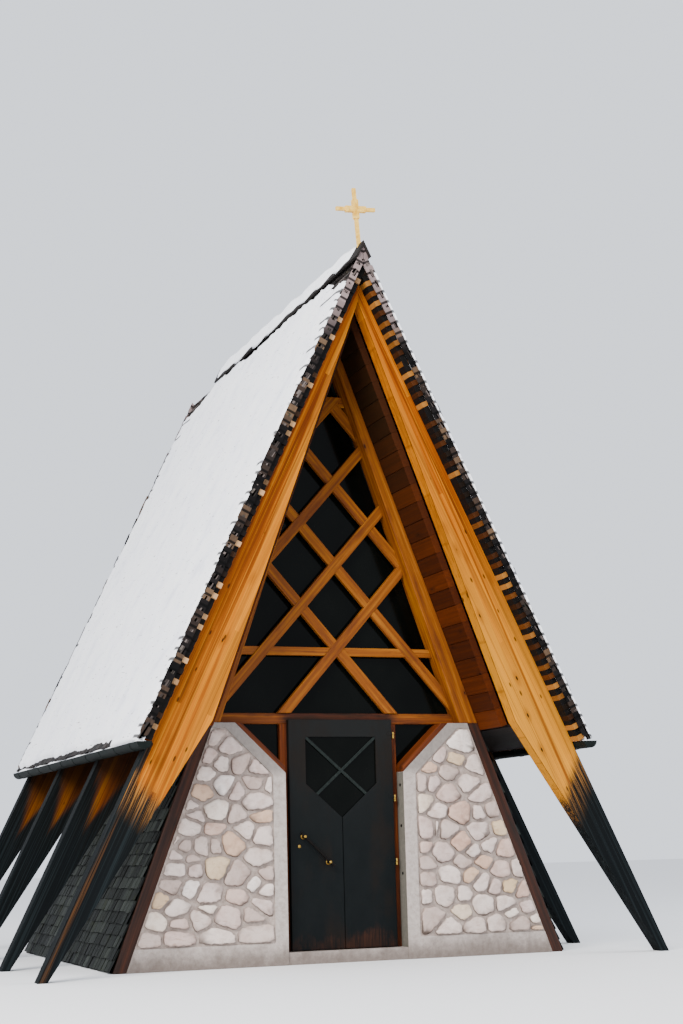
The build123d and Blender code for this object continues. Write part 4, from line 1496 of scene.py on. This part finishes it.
def snow_finish():
    finish = Finish("snow", 0.2)
    x, y, z = finish.place()
    soft = finish.noise(x * 3, y * 3, z * 3, detail=5, rough=0.6)
    crumbs = finish.noise(x * 70, y * 70, z * 70, detail=4, rough=0.7)
    rows_up = (z - eave_z) / (EXPOSURE * roof_slope / roof_stretch)
    from_middle = (rows_up.fract() - 0.5).size()
    reach = finish.random(rows_up.floor(), x.above(0), y.above(0)) * (0.2 + z.ease(5.0, 6.2) * 0.4) + 0.03
    butts = (1 - from_middle.ease(0.1, 0.2)) * (reach - (verge_y - y.size())).ease(0.0, 0.04)
    litter = finish.noise(x * 30, y * 9, z * 60, detail=3, rough=0.6)
    colour = finish.coats(
        finish.ramp(soft * 0.6 + crumbs * 0.4, (0.3, (238, 239, 248)), (0.6, (255, 255, 255))),
        ((litter + from_middle * 0.12).ease(0.69, 0.73) * 0.75, (96, 92, 92)),
        (butts * 0.9, (22, 21, 22)),
        # Painted shade: faint blue-grey in the hollows of the soft noise.
        ((1 - soft.ease(0.3, 0.46)) * 0.25, (196, 196, 208)),
    )
    return finish.surface(colour, 0.9, crumbs * 0.7 + soft * 0.3, 0.006)


snow = snow_finish()
snow_columns = int(2 * (verge_y - SNOW_INSET) / SNOW_STEP) + 1
snow_rows = int(slope_length / SNOW_STEP) + 1
for side_name, side in SIDES.items():
    seed = 3.7 + side * 11.3

    def top(column, row):
        y, up = SNOW_INSET - verge_y + column * SNOW_STEP, SNOW_START + row * SNOW_STEP
        cover = snow_cover(y, up, seed)
        return (y, up, SNOW_BASE - 0.02 + cover * (snow_height(y, up, seed) + 0.02))

    def base(column, row):
        return (SNOW_INSET - verge_y + column * SNOW_STEP, SNOW_START + row * SNOW_STEP, SNOW_UNDERSIDE)

    mesh = height_field(snow_columns, snow_rows, top, base)
    mesh.transform(slope_matrix(ridge_z, roof_slope, eave_z, 0.0, 0.0))
    keep_within(mesh, -verge_y, verge_y, roof_slope, 0.004)
    mirror_mesh(mesh, side < 0)
    fit_piece(f"snow_{side_name}", mesh, snow, smooth=True)
print("snow:", snow_columns, "by", snow_rows, "points a side")

# %% [markdown]
# On the right, the wind has packed a thin rim of snow on the tops of the verge shingles. From below it draws
# a fine white line along the roof's edge. It is one bar up the slope, with a wavy upper side.

# %% Snow rim on the right verge
RIM_STEP = 0.04
RIM_HEIGHT = 0.11
RIM_FROM_RIDGE = 0.16
rim_low, rim_high = [], []
for step in range(int((slope_length - RIM_FROM_RIDGE) / RIM_STEP)):
    place = Vector((eave_x, 0, eave_z)) + uphill * (step * RIM_STEP - 0.02) + outward * RIM_HEIGHT
    thick = 0.015 + 0.012 * lumps(step * 0.23, 2.0, 4.0)
    rim_low.append(place)
    rim_high.append(place + outward * thick)
rim = Solids()
outline = [(point.x, point.z) for point in rim_low + rim_high[::-1]]
rim.bar(outline, -verge_y - 0.012, -verge_y + 0.05, chamfer=0)
fit_piece("snow_rim_right", rim, snow)
print("snow rim:", len(rim_low), "steps up the verge")

# %% [markdown]
# Snow also sits on the ridge cap and in the gutters, as rounded rolls with a ragged outline. A roll is a
# row of arcs whose width and height follow seeded noise, closed at both ends.

# %% Snow on the ridge and in the gutters
RIDGE_ARC_STEPS = 6
GUTTER_ARC_STEPS = 3
GUTTER_TOP = 1.9566
GUTTER_X = 2.1464
GUTTER_HALF = 0.054
ROLL_STEP = 0.045
cap_low, cap_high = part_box("ridge_cap")
gutter_low, gutter_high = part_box("gutter_right")


def snow_roll(start_y, end_y, arc):
    """A closed roll along Y. Arc gives the outline in X and Z, from left to right, at a place on it."""
    last = int((end_y - start_y) / ROLL_STEP)
    sections = []
    for index in range(last + 1):
        y = start_y + (end_y - start_y) * index / last
        sections.append([(x, y, z) for x, z in arc(y, smooth_step(min(index, last - index) / 2.5))])
    return to_mesh(loft(sections), "snow_roll")


def ridge_arc(y, taper):
    """Snow that lies on both sides of the ridge cap."""
    deep = 0.4 + 0.6 * smooth_step((y - cap_low.y - 0.1) / 0.9)
    points = []
    for step in range(-RIDGE_ARC_STEPS, RIDGE_ARC_STEPS + 1):
        share = step / RIDGE_ARC_STEPS
        x = share * cap_high.x * (0.92 + 0.4 * lumps(y * 4, share * 1.5, 3.0)) * (0.4 + 0.6 * taper)
        rise = (0.022 + 0.024 * lumps(y * 3.3, share, 5.0)) * deep * taper * (1 - abs(share) ** 3)
        level = cap_high.z - abs(x) * roof_slope + 0.012 * (1 - abs(share)) * taper
        points.append((x, level + rise * roof_stretch * 0.55 - 0.004))
    low = (cap_high.x * 0.4, cap_high.z - cap_high.x * 0.9)
    return points + [low, (0, cap_high.z - 0.05), (-low[0], low[1])]


ridge_roll = snow_roll(cap_low.y + 0.16, cap_high.y - 0.01, ridge_arc)
fit_piece("snow_on_ridge", ridge_roll, snow, smooth=True)

for side_name, side in SIDES.items():
    def gutter_arc(y, taper):
        level = GUTTER_TOP - 0.004 + 0.02 * lumps(y * 1.9, 3.0, side * 5.0) * taper
        points = []
        for step in range(-GUTTER_ARC_STEPS, GUTTER_ARC_STEPS + 1):
            share = step / GUTTER_ARC_STEPS
            hump = (1 - share * share) * (0.03 + 0.02 * lumps(y * 3.1, share, side * 2.0))
            points.append((GUTTER_X + share * GUTTER_HALF, level + hump * taper))
        return points + [(GUTTER_X + 0.03, GUTTER_TOP - 0.045), (GUTTER_X - 0.03, GUTTER_TOP - 0.045)]

    mesh = snow_roll(gutter_low.y + 0.02, gutter_high.y - 0.02, gutter_arc)
    mirror_mesh(mesh, side < 0)
    fit_piece(f"snow_in_gutter_{side_name}", mesh, snow, smooth=True)
print("snow on the ridge cap and in 2 gutters")

# %% [markdown]
# At the rear the ridge has no cap: the top course of one side stands past the other, as a comb of thin
# slats that throws the rain clear. It is one more row laid by the courses tree.

# %% Ridge comb
COMB_SLATS = 23
COMB_OVERLAP = 0.15
COMB_STICK_OUT = 0.12
comb_low_z = ridge_z - COMB_OVERLAP * roof_slope / roof_stretch
comb_slat = wedge(0.036, COMB_OVERLAP + DECK_HEIGHT / roof_slope + COMB_STICK_OUT, 0.0, 0.014, 0.008)
comb = lay_courses(comb_slat, roof_shingle, rows=1, columns=COMB_SLATS, exposure=0.1, width=0.042, slip=0.035,
                   sway=0.2, narrowing=0.3, lift=0.04, seed=93)
comb.transform(slope_matrix(ridge_z, roof_slope, comb_low_z, DECK_HEIGHT + 0.052, cap_high.y + 0.03))
keep_within(comb, cap_high.y, verge_y, 0.0, -1.0)
fit_piece("ridge_comb", comb, roof_shingle)
print("ridge comb:", COMB_SLATS, "slats")
